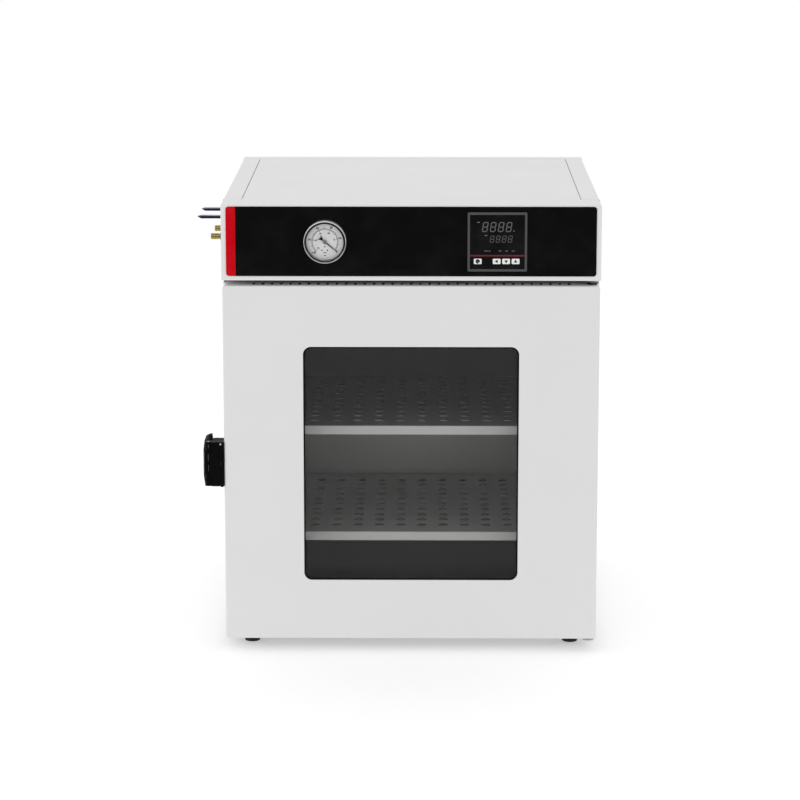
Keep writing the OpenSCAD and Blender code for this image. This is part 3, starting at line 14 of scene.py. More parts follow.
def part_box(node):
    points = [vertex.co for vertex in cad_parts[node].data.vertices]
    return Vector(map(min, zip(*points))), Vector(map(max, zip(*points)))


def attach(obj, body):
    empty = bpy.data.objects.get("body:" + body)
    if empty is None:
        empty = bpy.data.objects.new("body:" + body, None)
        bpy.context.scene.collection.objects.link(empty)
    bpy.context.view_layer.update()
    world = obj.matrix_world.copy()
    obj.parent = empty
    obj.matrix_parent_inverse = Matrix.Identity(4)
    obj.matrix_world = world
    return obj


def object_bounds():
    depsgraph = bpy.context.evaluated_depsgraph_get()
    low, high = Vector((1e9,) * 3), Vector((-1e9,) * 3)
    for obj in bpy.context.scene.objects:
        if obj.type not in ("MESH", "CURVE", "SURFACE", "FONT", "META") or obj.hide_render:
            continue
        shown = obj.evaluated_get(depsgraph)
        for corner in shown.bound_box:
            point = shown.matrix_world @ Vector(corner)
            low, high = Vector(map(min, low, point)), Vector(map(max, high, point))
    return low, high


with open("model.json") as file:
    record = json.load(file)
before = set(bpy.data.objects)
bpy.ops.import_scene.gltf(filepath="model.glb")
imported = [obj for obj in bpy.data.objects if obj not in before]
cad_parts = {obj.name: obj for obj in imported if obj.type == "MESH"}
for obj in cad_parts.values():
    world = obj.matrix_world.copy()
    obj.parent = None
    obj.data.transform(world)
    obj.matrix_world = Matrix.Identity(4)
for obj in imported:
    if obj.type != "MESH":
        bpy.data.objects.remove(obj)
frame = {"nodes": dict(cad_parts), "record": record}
cad_lo, cad_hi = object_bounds()
nodes = frame["nodes"]
body_of = {n: b for b, ns in frame["record"]["behaviour"]["bodies"].items() for n in ns}
slot_of = {s["node"]: s["material_slot"] for s in frame["record"]["subparts"]}
print(len(nodes), "nodes, box", [round(c, 4) for c in (*cad_lo, *cad_hi)])

# %% [markdown]
# ## Units and places
# Blender works in metres and a maker in millimetres, so one name turns one into the other.
# Places start from the frame's boxes, so a print or a screw moves with the piece that it
# sits on. Distances within a print, such as from digit to digit, are given as numbers.

# %% Units, boxes and the places that later cells need
MM = 0.001


def middle(node):
    lo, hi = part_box(node)
    return (lo + hi) / 2


def size_of(node):
    lo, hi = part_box(node)
    return hi - lo


dial_at = Vector((middle("gauge_dial").x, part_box("gauge_dial")[0].y, middle("gauge_dial").z))
face_at = Vector((middle("controller_face").x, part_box("controller_face")[0].y,
                  middle("controller_face").z))
floor_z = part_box("rubber_feet")[0].z
print("dial", [round(c, 4) for c in dial_at], "controller", [round(c, 4) for c in face_at])

# %% [markdown]
# ## Colour and shader helpers
# Paint is matched on a colour card in sRGB, while the renderer mixes linear light. One
# function turns a hex code into linear numbers, and one adds a shader node with its
# settings and links. Each finish below is then a short list of what its surface does.

# %% Colour and node helpers
def rgb(code):
    """Linear colour of an sRGB hex code."""
    parts = [int(code[i:i + 2], 16) / 255 for i in (0, 2, 4)]
    linear = [c / 12.92 if c <= 0.04045 else ((c + 0.055) / 1.055) ** 2.4 for c in parts]
    return (*linear, 1.0)


def darker(code, share):
    """The same colour with a share of its light."""
    return tuple(c * share for c in rgb(code)[:3]) + (1.0,)


def add(tree, kind, values=(), links=()):
    """One node: values are settings or input values by name, links are inputs fed by outputs."""
    node = tree.nodes.new(kind)
    for key, value in dict(values).items():
        if hasattr(node, key):
            setattr(node, key, value)
        else:
            node.inputs[key].default_value = value
    for key, output in dict(links).items():
        tree.links.new(output, node.inputs[key])
    return node


def per_mm(size_mm):
    """Texture scale at which one cell of a pattern is size_mm across."""
    return 1.0 / (size_mm * MM)


def new_material(name):
    """A material with only a surface shader and the output, and the tree to add to."""
    material = bpy.data.materials.new(name)
    material.use_nodes = True
    tree = material.node_tree
    tree.nodes.clear()
    output = add(tree, "ShaderNodeOutputMaterial")
    shader = add(tree, "ShaderNodeBsdfPrincipled")
    tree.links.new(shader.outputs[0], output.inputs[0])
    return material, tree, shader


def settings(shader, colour, metallic=0.0, roughness=0.5, **more):
    """Constants go straight on the shader's own sockets."""
    shader.inputs["Base Color"].default_value = rgb(colour)
    shader.inputs["Metallic"].default_value = metallic
    shader.inputs["Roughness"].default_value = roughness
    for key, value in more.items():
        shader.inputs[key.replace("_", " ").title().replace("Ior", "IOR")].default_value = value


def object_pattern(tree, size_mm, stretch=(1, 1, 1), detail=3.0, roughness=0.5):
    """Noise on Object coordinates, its cells size_mm across and stretched by axis."""
    where = add(tree, "ShaderNodeTexCoord")
    scaled = add(tree, "ShaderNodeMapping", {"Scale": stretch}, {"Vector": where.outputs["Object"]})
    return add(tree, "ShaderNodeTexNoise",
               {"Scale": per_mm(size_mm), "Detail": detail, "Roughness": roughness},
               {"Vector": scaled.outputs[0]}).outputs["Fac"]


def to_range(tree, value, low, high, source=(0.3, 0.7)):
    """Moves a pattern's usual spread onto a range."""
    return add(tree, "ShaderNodeMapRange",
               {"From Min": source[0], "From Max": source[1], "To Min": low, "To Max": high},
               {"Value": value}).outputs[0]


def bump(tree, shader, height, depth_mm, strength=1.0):
    """Relief of depth_mm on the surface."""
    relief = add(tree, "ShaderNodeBump", {"Distance": depth_mm * MM, "Strength": strength},
                 {"Height": height})
    tree.links.new(relief.outputs[0], shader.inputs["Normal"])


print("linear mid grey", [round(c, 3) for c in rgb("808080")[:3]])

# %% [markdown]
# ## Powder-coated steel
# The casing and the door are steel sheet sprayed with epoxy powder and baked. The powder
# melts into a skin with a faint orange peel, a soft gloss and almost no change of colour.
# The peel is a noise 2.5 mm across, a size chosen for the look.
# The edges of the door's slots and the ledge under the lid get near-black painted shade, so
# that the slots and the seams read as lines. The frame behind the door gets a graphite coat
# as painted shade, so that the gap under the controller reads dark, and the door's white is
# one step darker than the casing's, as painted shade too. A mask on Object coordinates finds
# the edges.

# %% Powder coat
def powder_coat(name, colour, roughness, peel_mm=2.5, shade_mask=None):
    """Sprayed steel. A mask function, if given, picks the faces that get near-black painted shade.
    """
    material, tree, shader = new_material(name)
    settings(shader, colour, 0.0, roughness, coat_weight=0.12, coat_roughness=0.25)
    peel = object_pattern(tree, peel_mm, detail=2.0)
    cloud = object_pattern(tree, 120.0, detail=2.0)
    tree.links.new(to_range(tree, cloud, roughness - 0.02, roughness + 0.02),
                   shader.inputs["Roughness"])
    tone = add(tree, "ShaderNodeMixRGB", {"Color1": rgb(colour), "Color2": darker(colour, 0.985)},
               {"Fac": to_range(tree, cloud, 0.0, 1.0)})
    # Painted shade: the masked faces turn near black.
    if shade_mask:
        tone = add(tree, "ShaderNodeMixRGB", {"Color2": rgb("101011")},
                   {"Fac": shade_mask(tree), "Color1": tone.outputs[0]})
    tree.links.new(tone.outputs[0], shader.inputs["Base Color"])
    bump(tree, shader, peel, 0.02, 0.35)
    return material


def within(tree, tests):
    """1 where every output lies within a reach of its middle: tests are (output, middle, reach)."""
    mask = None
    for output, centre, reach in tests:
        test = add(tree, "ShaderNodeMath", {"operation": "COMPARE"}, {0: output})
        test.inputs[1].default_value, test.inputs[2].default_value = centre, reach
        mask = test if mask is None else add(tree, "ShaderNodeMath", {"operation": "MULTIPLY"},
                                             {0: mask.outputs[0], 1: test.outputs[0]})
    return mask.outputs[0]


def place_and_facing(tree):
    """Outputs X, Y and Z of the place on the piece, and of the way its surface looks."""
    place = add(tree, "ShaderNodeSeparateXYZ",
                links={0: add(tree, "ShaderNodeTexCoord").outputs["Object"]})
    facing = add(tree, "ShaderNodeSeparateXYZ",
                 links={0: add(tree, "ShaderNodeTexCoord").outputs["Normal"]})
    return place.outputs, facing.outputs


def slot_edges_shaded(tree):
    """The punched edges of the slots in the door's top, which get painted shade."""
    at, look = place_and_facing(tree)
    (lo, hi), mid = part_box("door_skin"), middle("door_skin")
    return within(tree, [(at["X"], mid.x, (hi.x - lo.x) / 2 - 4 * MM),
                         (at["Y"], mid.y, (hi.y - lo.y) / 2 - 3 * MM),
                         (at["Z"], hi.z - 0.85 * MM, 0.8 * MM), (look["Z"], 0.0, 0.92)])


def lid_ledge_shaded(tree):
    """The ledge of a side panel, which lies under the lid's edge and gets painted shade."""
    at, look = place_and_facing(tree)
    return within(tree, [(at["Z"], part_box("side_panel_left")[1].z - 5 * MM, 4 * MM),
                         (at["Y"], middle("top_cover").y, size_of("top_cover").y / 2 - 4 * MM),
                         (look["Z"], 1.0, 0.1)])


# The door's copy is one step darker as painted shade; slot edges and ledges get near-black painted
# shade.
white_coat = powder_coat("epoxy_powder_coat_white", "DFDFDF", 0.42)
door_coat_shaded = powder_coat("epoxy_powder_coat_white_slot_shade", "DEDEDE", 0.42, shade_mask=slot_edges_shaded)
panel_coat_shaded = powder_coat("epoxy_powder_coat_white_ledge_shade", "DFDFDF", 0.42, shade_mask=lid_ledge_shaded)
# Painted shade: the frame behind the door is coated near black, so the gap under the controller
# reads dark.
frame_shade_coat = powder_coat("powder_coat_graphite_painted_shade", "1C1C1D", 0.45)
print(white_coat.name, door_coat_shaded.name, panel_coat_shaded.name)

# %% [markdown]
# ## Metals
# Stainless sheet is brushed: long fine scratches that spread a highlight across the grain.
# Zinc plate is duller, with a cloudy passivation. Chrome is a mirror with hardly a flaw.
# Brass is turned, but its rings are left out here; copper pipe is drawn and a little tarnished.

# %% Metals
def brushed_metal(name, colour, roughness, grain=(1, 60, 60), grain_mm=60.0, depth_mm=0.01):
    material, tree, shader = new_material(name)
    settings(shader, colour, 1.0, roughness)
    grain_lines = object_pattern(tree, grain_mm, grain, detail=4.0, roughness=0.7)
    tree.links.new(to_range(tree, grain_lines, roughness - 0.08, roughness + 0.1),
                   shader.inputs["Roughness"])
    bump(tree, shader, grain_lines, depth_mm, 0.3)
    return material


def plated_metal(name, colour, roughness, cloud_mm=14.0):
    material, tree, shader = new_material(name)
    settings(shader, colour, 1.0, roughness)
    cloud = object_pattern(tree, cloud_mm, detail=5.0)
    tree.links.new(to_range(tree, cloud, roughness - 0.07, roughness + 0.12),
                   shader.inputs["Roughness"])
    tone = add(tree, "ShaderNodeMixRGB", {"Color1": rgb(colour), "Color2": darker(colour, 0.82)},
               {"Fac": to_range(tree, cloud, 0.0, 1.0)})
    tree.links.new(tone.outputs[0], shader.inputs["Base Color"])
    return material


stainless = brushed_metal("stainless_steel_brushed", "A0A09E", 0.5)
zinc_plate = plated_metal("zinc_plated_steel", "A9ABAD", 0.36)
chrome = plated_metal("chromed_brass_polished", "E6E8EA", 0.06, 40.0)
brass = plated_metal("brass_turned", "B8A05C", 0.14, 5.0)
copper = plated_metal("copper_pipe_drawn", "B87752", 0.3, 9.0)
aluminium = brushed_metal("aluminium_extruded", "B4B7BA", 0.38, (60, 60, 1), 80.0)
dark_anodised = plated_metal("aluminium_dark_anodised", "2B2C2F", 0.42, 20.0)
print("metals ready")

# %% [markdown]
# ## Shelf steel
# The shelves are stainless too. Through the two panes their tops read dark and the folded
# front lip reads bright, so one material paints both: a painted highlight on the lip and
# painted shade on the top, picked by a step along Object Y, just behind the lip, and the way
# a face looks. These tones are matched to the look and no wear or heat is known behind them.
# The punched holes are assumed, and their walls get painted shade, much darker than the top.
# That hides the holes in part on the upper shelf, but makes them a little plainer on the
# lower one. Each shelf has its own painted tones, the upper one in deeper shade, and each
# top turns lighter towards the back.

# %% Shelf steel with painted light: a bright front lip and a shaded top
def shelf_painted_light(name, lip, top, top_far, cut):
    material, tree, shader = new_material(name)
    settings(shader, top, 1.0, 0.6)
    lip_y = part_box("upper_shelf")[0].y
    at, look = place_and_facing(tree)
    behind = to_range(tree, at["Y"], 0.0, 1.0, (lip_y + 2.0 * MM, lip_y + 2.4 * MM))
    level = add(tree, "ShaderNodeMath", {"operation": "ABSOLUTE"}, {0: look["Z"]})
    # Painted light: the top grows lighter towards the back, hole walls take painted shade, the lip
    # a painted highlight.
    far_tone = add(tree, "ShaderNodeMixRGB", {"Color1": rgb(top), "Color2": rgb(top_far)},
               {"Fac": to_range(tree, at["Y"], 0.0, 1.0,
                                (middle("upper_shelf").y - 100 * MM,
                                 middle("upper_shelf").y + 150 * MM))})
    back_tone = add(tree, "ShaderNodeMixRGB", {"Color1": rgb(cut)},
                    {"Fac": to_range(tree, level.outputs[0], 0.0, 1.0, (0.4, 0.8)),
                     "Color2": far_tone.outputs[0]})
    tone = add(tree, "ShaderNodeMixRGB", {"Color1": rgb(lip)},
               {"Fac": behind, "Color2": back_tone.outputs[0]})
    tree.links.new(tone.outputs[0], shader.inputs["Base Color"])
    tree.links.new(to_range(tree, behind, 0.0, 0.4, (0, 1)), shader.inputs["Metallic"])
    grain = object_pattern(tree, 40.0, (1, 30, 30), detail=3.0)
    tree.links.new(to_range(tree, grain, 0.55, 0.68), shader.inputs["Roughness"])
    return material


# Painted light and shade on both shelves; the upper one sits in deeper painted shade.
upper_shelf_painted_light = shelf_painted_light("stainless_steel_shelf_upper_painted_light", "F8F8F6", "9C9C9B", "A4A4A3",
                           "0C0C0C")
lower_shelf_painted_light = shelf_painted_light("stainless_steel_shelf_lower_painted_light", "F8F8F6", "D2D2D0", "F6F6F4",
                           "4E4E4E")
print(upper_shelf_painted_light.name, lower_shelf_painted_light.name)

# %% [markdown]
# ## Chamber steel
# The chamber is brushed sheet like the rest. The space over the upper shelf has to read
# darker than the one below it, so painted shade follows the height: the sheet turns darker,
# rougher and less metallic upwards, blended over 40 mm in the shade under the upper shelf.
# This too is matched to the look; the sheet itself is even, and the darker tone stands in
# for shade.

# %% Chamber steel, with painted shade over the upper shelf
def chamber_painted_shade(name, bright, shade_tone):
    material, tree, shader = new_material(name)
    settings(shader, bright, 1.0, 0.5)
    at = place_and_facing(tree)[0]
    shelf_z = middle("upper_shelf").z
    # Painted shade: darker, rougher and less metallic from 30 mm under the upper shelf upwards.
    unshaded = to_range(tree, at["Z"], 0.0, 1.0, (shelf_z - 30 * MM, shelf_z - 70 * MM))
    tone = add(tree, "ShaderNodeMixRGB", {"Color1": rgb(shade_tone), "Color2": rgb(bright)},
               {"Fac": unshaded})
    tree.links.new(tone.outputs[0], shader.inputs["Base Color"])
    tree.links.new(to_range(tree, unshaded, 0.5, 1.0, (0, 1)),
                   shader.inputs["Metallic"])
    tree.links.new(to_range(tree, unshaded, 0.9, 0.5, (0, 1)),
                   shader.inputs["Roughness"])
    bump(tree, shader, object_pattern(tree, 60.0, (1, 60, 60), detail=4.0), 0.01, 0.3)
    return material


chamber_steel_painted_shade = chamber_painted_shade("stainless_steel_chamber_painted_shade", "B6B6B4", "7C7C7C")
print(chamber_steel_painted_shade.name)

# %% [markdown]
# ## Glass, rubber, plastic and print
# The outer pane is tinted grey and thin, so it passes lamps' light straight through: a
# Transparent shader stands in for shadow rays, and the pane itself keeps its gloss.
# Rubber is matt; its faint bloom is left out. Moulded plastic has a fine spark-eroded grain.

# %% Glass
def pane_glass(name, tint, roughness=0.02):
    """Clear or tinted glass that lamps shine through."""
    material, tree, shader = new_material(name)
    settings(shader, tint, 0.0, roughness, transmission_weight=1.0, ior=1.35)
    output = next(n for n in tree.nodes if n.type == "OUTPUT_MATERIAL")
    through = add(tree, "ShaderNodeBsdfTransparent", {"Color": rgb(tint)})
    path = add(tree, "ShaderNodeLightPath")
    mixed = add(tree, "ShaderNodeMixShader", links={"Fac": path.outputs["Is Shadow Ray"]})
    tree.links.new(shader.outputs[0], mixed.inputs[1])
    tree.links.new(through.outputs[0], mixed.inputs[2])
    tree.links.new(mixed.outputs[0], output.inputs[0])
    return material


tinted_glass = pane_glass("glass_grey_tinted", "F8F8F8")
clear_glass = pane_glass("glass_toughened_clear", "FBFBFB")
gauge_glass = pane_glass("glass_gauge_clear", "FFFFFF")


def moulded(name, colour, roughness=0.5, grain_mm=1.2, depth_mm=0.01, **more):
    """Injection moulded plastic or rubber with a fine grain."""
    material, tree, shader = new_material(name)
    settings(shader, colour, 0.0, roughness, **more)
    grain = object_pattern(tree, grain_mm, detail=2.0)
    cloud = object_pattern(tree, 30.0, detail=3.0)
    tree.links.new(to_range(tree, cloud, roughness - 0.06, roughness + 0.08),
                   shader.inputs["Roughness"])
    bump(tree, shader, grain, depth_mm, 0.3)
    return material


black_abs = moulded("abs_black_spark_grain", "161618", 0.42)
latch_black = moulded("nylon_black_matt", "060607", 0.5, 1.0, specular_ior_level=0.08)
rubber_black = moulded("epdm_rubber_black", "1A1A1B", 0.75, 0.9, 0.03)
silicone = moulded("silicone_translucent_white", "D9D5CB", 0.5, 1.5)
fascia_black = moulded("acrylic_black_gloss", "0B0B0C", 0.12, 3.0, 0.001)
accent_red = moulded("acrylic_red_gloss", "C20012", 0.12, 3.0, 0.001, specular_ior_level=0.25)
frame_grey = moulded("abs_grey_spark_grain", "4B4B4D", 0.5, specular_ior_level=0.3)
face_black = moulded("polycarbonate_black_film", "0A090B", 0.22, 2.0, 0.002)
key_white = moulded("abs_white_keys", "E6E6E6", 0.4)
relay_white = moulded("pbt_white", "D8D8D4", 0.45)
lever_blue = moulded("pvc_dipped_navy", "00113F", 0.28, 2.0, 0.01)
rocker_red = moulded("pbt_red", "B3121D", 0.35)
dial_card = moulded("dial_card_white_lacquer", "F8F7F8", 0.5, 0.8, 0.004)
ink_black = moulded("screen_ink_black", "060607", 0.6, specular_ior_level=0.2)
wool = moulded("mineral_wool_felt", "C9BE93", 0.95, 3.0, 0.6)
heater_orange = moulded("silicone_heater_mat", "B45A2E", 0.6, 1.5, 0.05)
phenolic = moulded("phenolic_paper_tan", "9C6B3A", 0.5)
circuit_green = moulded("solder_mask_green", "174F2C", 0.3, 2.0, 0.004)
print("plastics and glass ready")

# %% [markdown]
# ## Every construction piece gets its finish
# A folded sheet has a small radius along each bend and a broken burr along each cut, and
# those soft edges are what catch the light. Bevelling by hand would take hours, so each
# CAD mesh is welded, its flat faces joined and its sharp edges bevelled by modifiers,
# which leave the mesh itself as it is.

# %% Finish and eased edges on the construction's own meshes
FINISHES = {
    "painted_steel": (white_coat, 0.5),
    "galvanised_steel": (zinc_plate, 0.2),
    "stainless_steel": (stainless, 0.25),
    "silicone_gasket": (silicone, 0.6),
    "mineral_wool": (wool, 1.5),
    "heater_mat": (heater_orange, 0.4),
    "fascia_black": (fascia_black, 0.15),
    "accent_red": (accent_red, 0.15),
    "gauge_body": (black_abs, 0.4),
    "chrome_ring": (chrome, 0.3),
    "dial_white": (dial_card, 0.0),
    "pointer_black": (ink_black, 0.1),
    "clear_glass": (clear_glass, 0.2),
    "tinted_glass": (tinted_glass, 0.3),
    "controller_grey": (frame_grey, 0.4),
    "face_black": (face_black, 0.15),
    "circuit_board": (circuit_green, 0.1),
    "key_white": (key_white, 0.4),
    "black_plastic": (black_abs, 0.4),
    "relay_white": (relay_white, 0.4),
    "sink_aluminium": (dark_anodised, 0.3),
    "phenolic_tan": (phenolic, 0.3),
    "copper_pipe": (copper, 0.0),
    "brass": (brass, 0.3),
    "lever_blue": (lever_blue, 0.6),
    "zinc_steel": (zinc_plate, 0.3),
    "latch_black": (latch_black, 0.6),
    "black_rubber": (rubber_black, 0.8),
    "rocker_red": (rocker_red, 0.4),
    "frame_aluminium": (aluminium, 0.3),
}


def ease_edges(obj, edge_mm, steps=2, angle=30.0):
    """Modifiers that weld, join flat faces and bevel the sharp edges of a mesh."""
    weld = obj.modifiers.new("weld", "WELD")
    weld.merge_threshold = 0.002 * MM
    flat = obj.modifiers.new("join_flat_faces", "DECIMATE")
    flat.decimate_type = "DISSOLVE"
    flat.angle_limit = math.radians(1.0)
    bevel = obj.modifiers.new("eased_edges", "BEVEL")
    bevel.width = edge_mm * MM
    bevel.segments = steps
    bevel.limit_method = "ANGLE"
    bevel.angle_limit = math.radians(angle)
    bevel.harden_normals = True
    bevel.use_clamp_overlap = True


# Several own finishes carry painted light and shade: the shelves, the chamber, the door skin, the
# side panels and the front frame.
OWN_FINISHES = {"upper_shelf": (upper_shelf_painted_light, 0.25), "lower_shelf": (lower_shelf_painted_light, 0.25),
                "hinge_bushes": (black_abs, 0.3), "door_skin": (door_coat_shaded, 0.5),
                "side_panel_left": (panel_coat_shaded, 0.5), "side_panel_right": (panel_coat_shaded, 0.5),
                "front_frame": (frame_shade_coat, 0.3), "gauge_glass": (gauge_glass, 0.2),
                "chamber": (chamber_steel_painted_shade, 0.25)}
for name, obj in nodes.items():
    material, edge_mm = OWN_FINISHES.get(name, FINISHES[slot_of[name]])
    for place in obj.material_slots:
        place.material = material
    if not obj.material_slots:
        obj.data.materials.append(material)
    if edge_mm:
        ease_edges(obj, edge_mm)
print("finished", len(nodes), "nodes")

# %% [markdown]
# ## Three small growers
# Ticks round a dial, digits in a row and recesses on scattered screws all repeat one small
# shape. Copying by hand would fix the count for good, so three Geometry Nodes trees do it:
# copies in a row, copies round an arc, and copies at points. Each ends in real mesh with
# its material set, and the result is kept as a plain mesh.

# %% Trees that repeat a piece
def new_tree(name, inputs):
    """A geometry tree with named inputs, and its group input and output nodes."""
    tree = bpy.data.node_groups.new(name, "GeometryNodeTree")
    tree.interface.new_socket("Geometry", in_out="OUTPUT", socket_type="NodeSocketGeometry")
    for title, kind in (("Geometry", "NodeSocketGeometry"), *inputs,
                        ("Finish", "NodeSocketMaterial")):
        tree.interface.new_socket(title, in_out="INPUT", socket_type=kind)
    return tree, add(tree, "NodeGroupInput"), add(tree, "NodeGroupOutput")


def end_tree(tree, start, end, instances):
    """Makes the copies real and sets their material."""
    real = add(tree, "GeometryNodeRealizeInstances", links={"Geometry": instances})
    finished = add(tree, "GeometryNodeSetMaterial",
                   links={"Geometry": real.outputs[0], "Material": start.outputs["Finish"]})
    tree.links.new(finished.outputs[0], end.inputs[0])


def row_tree():
    """Copies of the incoming mesh in a row."""
    tree, start, end = new_tree("copies_in_a_row", (("Count", "NodeSocketInt"),
                                                    ("Step", "NodeSocketVector")))
    line = add(tree, "GeometryNodeMeshLine",
               links={"Count": start.outputs["Count"], "Offset": start.outputs["Step"]})
    copies = add(tree, "GeometryNodeInstanceOnPoints",
                 links={"Points": line.outputs[0], "Instance": start.outputs["Geometry"]})
    end_tree(tree, start, end, copies.outputs[0])
    return tree


def arc_tree():
    """Copies of the incoming mesh turned about the Y axis, spread evenly over a sweep."""
    tree, start, end = new_tree("copies_round_an_arc", (
        ("Count", "NodeSocketInt"), ("First", "NodeSocketFloat"), ("Sweep", "NodeSocketFloat")))
    line = add(tree, "GeometryNodeMeshLine", links={"Count": start.outputs["Count"]})
    line.inputs["Offset"].default_value = (0, 0, 0)
    index = add(tree, "GeometryNodeInputIndex")
    gaps = add(tree, "ShaderNodeMath", {"operation": "SUBTRACT"}, {0: start.outputs["Count"]})
    gaps.inputs[1].default_value = 1.0
    share = add(tree, "ShaderNodeMath", {"operation": "DIVIDE"},
                {0: index.outputs[0], 1: gaps.outputs[0]})
    turn = add(tree, "ShaderNodeMath", {"operation": "MULTIPLY_ADD"},
               {0: share.outputs[0], 1: start.outputs["Sweep"], 2: start.outputs["First"]})
    angles = add(tree, "ShaderNodeCombineXYZ", links={"Y": turn.outputs[0]})
    copies = add(tree, "GeometryNodeInstanceOnPoints",
                 links={"Points": line.outputs[0], "Instance": start.outputs["Geometry"],
                        "Rotation": angles.outputs[0]})
    end_tree(tree, start, end, copies.outputs[0])
    return tree


def points_tree():
    """Copies of another object's mesh at the incoming mesh's vertices."""
    tree, start, end = new_tree("copies_at_points", (("Piece", "NodeSocketObject"),))
    piece = add(tree, "GeometryNodeObjectInfo", links={"Object": start.outputs["Piece"]})
    copies = add(tree, "GeometryNodeInstanceOnPoints",
                 links={"Points": start.outputs["Geometry"],
                        "Instance": piece.outputs["Geometry"]})
    end_tree(tree, start, end, copies.outputs[0])
    return tree


ROW, ARC, POINTS = row_tree(), arc_tree(), points_tree()


def grow(name, mesh, tree, inputs, material, at, body):
    """Runs a tree on a mesh, keeps the result as a plain mesh at its place and lets it ride."""
    obj = bpy.data.objects.new(name, mesh)
    bpy.context.collection.objects.link(obj)
    modifier = obj.modifiers.new("grow", "NODES")
    modifier.node_group = tree
    sockets = {i.name: i.identifier for i in tree.interface.items_tree if i.in_out == "INPUT"}
    for title, value in {**inputs, "Finish": material}.items():
        modifier[sockets[title]] = value
    grown = bpy.data.meshes.new_from_object(
        obj.evaluated_get(bpy.context.evaluated_depsgraph_get()))
    obj.modifiers.clear()
    obj.data = grown
    grown.transform(Matrix.Translation(at))
    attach(obj, body)
    print(name, len(grown.polygons), "faces")
    return obj


# %% [markdown]
# ## Meshes to repeat
# A printed mark is a thin slab with its outline facing -Y, the side where the panel is
# read. One function lifts any outline into such a slab, and the others only give outlines.

# %% Outlines, slabs and plain pieces
PRINT_MM = 0.06


def slab_mesh(name, outlines, thick_mm=PRINT_MM):
    """Thin slabs from outlines, which are lists of (x, z) in mm. Their front is at -thick_mm."""
    verts, faces = [], []
    for outline in outlines:
        twice_area = sum(x0 * z1 - x1 * z0 for (x0, z0), (x1, z1)
                         in zip(outline, outline[1:] + outline[:1]))
        ring = outline if twice_area > 0 else outline[::-1]
        count = len(ring)
        front = list(range(len(verts), len(verts) + count))
        back = [i + count for i in front]
        verts += [(x * MM, -thick_mm * MM, z * MM) for x, z in ring]
        verts += [(x * MM, 0, z * MM) for x, z in ring]
        faces += [front, back[::-1]]
        for i in range(count):
            j = (i + 1) % count
            faces.append([front[i], back[i], back[j], front[j]])
    mesh = bpy.data.meshes.new(name)
    mesh.from_pydata(verts, [], faces)
    return mesh


def bar_outline(x0, x1, z0, z1):
    return [(x0, z0), (x1, z0), (x1, z1), (x0, z1)]


def ring_outline(r, turn0=0.0, turn1=360.0, steps=24, centre=(0, 0)):
    """Points of an arc about the centre, in degrees from +X towards +Z."""
    angles = [math.radians(turn0 + (turn1 - turn0) * i / steps) for i in range(steps + 1)]
    return [(centre[0] + r * math.cos(a), centre[1] + r * math.sin(a)) for a in angles]


def arc_outlines(r, width, turn0, turn1, steps):
    """An arc line as short quads."""
    inner = ring_outline(r - width / 2, turn0, turn1, steps)
    outer = ring_outline(r + width / 2, turn0, turn1, steps)
    return [[inner[i], inner[i + 1], outer[i + 1], outer[i]] for i in range(steps)]


def place_piece(name, mesh, material, at, body):
    """A mesh moved to its place in the frame, with its finish, riding on its body."""
    mesh.transform(Matrix.Translation(at))
    mesh.materials.clear()
    mesh.materials.append(material)
    obj = bpy.data.objects.new(name, mesh)
    bpy.context.collection.objects.link(obj)
    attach(obj, body)
    print(name, len(mesh.polygons), "faces")
    return obj


def lathe_mesh(name, profile, axis="Y", steps=32):
    """A shape turned about X or Y. The profile is (along, radius) in mm from end to end."""
    bm = bmesh.new()
    rings = []
    for along, radius in profile:
        ring = []
        for i in range(steps):
            a = 2 * math.pi * i / steps
            c, s = radius * math.cos(a), radius * math.sin(a)
            point = (along, c, s) if axis == "X" else (c, along, s)
            ring.append(bm.verts.new([p * MM for p in point]))
        rings.append(ring)
    for a, b in zip(rings, rings[1:]):
        for i in range(steps):
            j = (i + 1) % steps
            bm.faces.new((a[i], a[j], b[j], b[i]))
    for ring in (rings[0], rings[-1]):
        bm.faces.new(ring)
    bmesh.ops.recalc_face_normals(bm, faces=bm.faces)
    mesh = bpy.data.meshes.new(name)
    bm.to_mesh(mesh)
    bm.free()
    for face in mesh.polygons:
        face.use_smooth = len(face.vertices) == 4
    return mesh


print("outline helpers ready")

# %% [markdown]
# ## The gauge's dial
# A vacuum gauge is printed on a lacquered card: a ring line, fine ticks, heavier ticks and
# two rows of numbers, one for each unit. The pointer rests at zero, low on the right, and
# swings up and over to the left, so the scale starts at the pointer and turns backwards.

# %% Scale ticks and ring line
ZERO_TURN = -40.0
SCALE_SWEEP = 265.0
SCALE_R = 21.0


def scale_ticks(name, r0, r1, width, count):
    """Ticks between two radii; the arc tree turns clockwise, so the sweep is negative."""
    tick = slab_mesh(name, [bar_outline(r0, r1, -width / 2, width / 2)])
    sweep = {"Count": count, "First": math.radians(-ZERO_TURN),
             "Sweep": math.radians(-SCALE_SWEEP)}
    return grow(name, tick, ARC, sweep, ink_black, dial_at, "casing")


dial_parts = [
    scale_ticks("dial_ticks_fine", SCALE_R, SCALE_R + 1.6, 0.34, 51),
    scale_ticks("dial_ticks_tens", SCALE_R, SCALE_R + 2.3, 0.7, 11),
    scale_ticks("dial_ticks_inner", SCALE_R - 1.8, SCALE_R - 0.6, 0.22, 76),
    scale_ticks("dial_ticks_inner_main", SCALE_R - 3.0, SCALE_R - 0.6, 0.6, 6),
    place_piece("dial_ring_lines", slab_mesh("dial_ring_lines", [
        *arc_outlines(SCALE_R, 0.34, ZERO_TURN, ZERO_TURN + SCALE_SWEEP, 72),
        *arc_outlines(SCALE_R - 0.6, 0.26, ZERO_TURN, ZERO_TURN + SCALE_SWEEP, 72)]),
        ink_black, dial_at, "casing"),
]

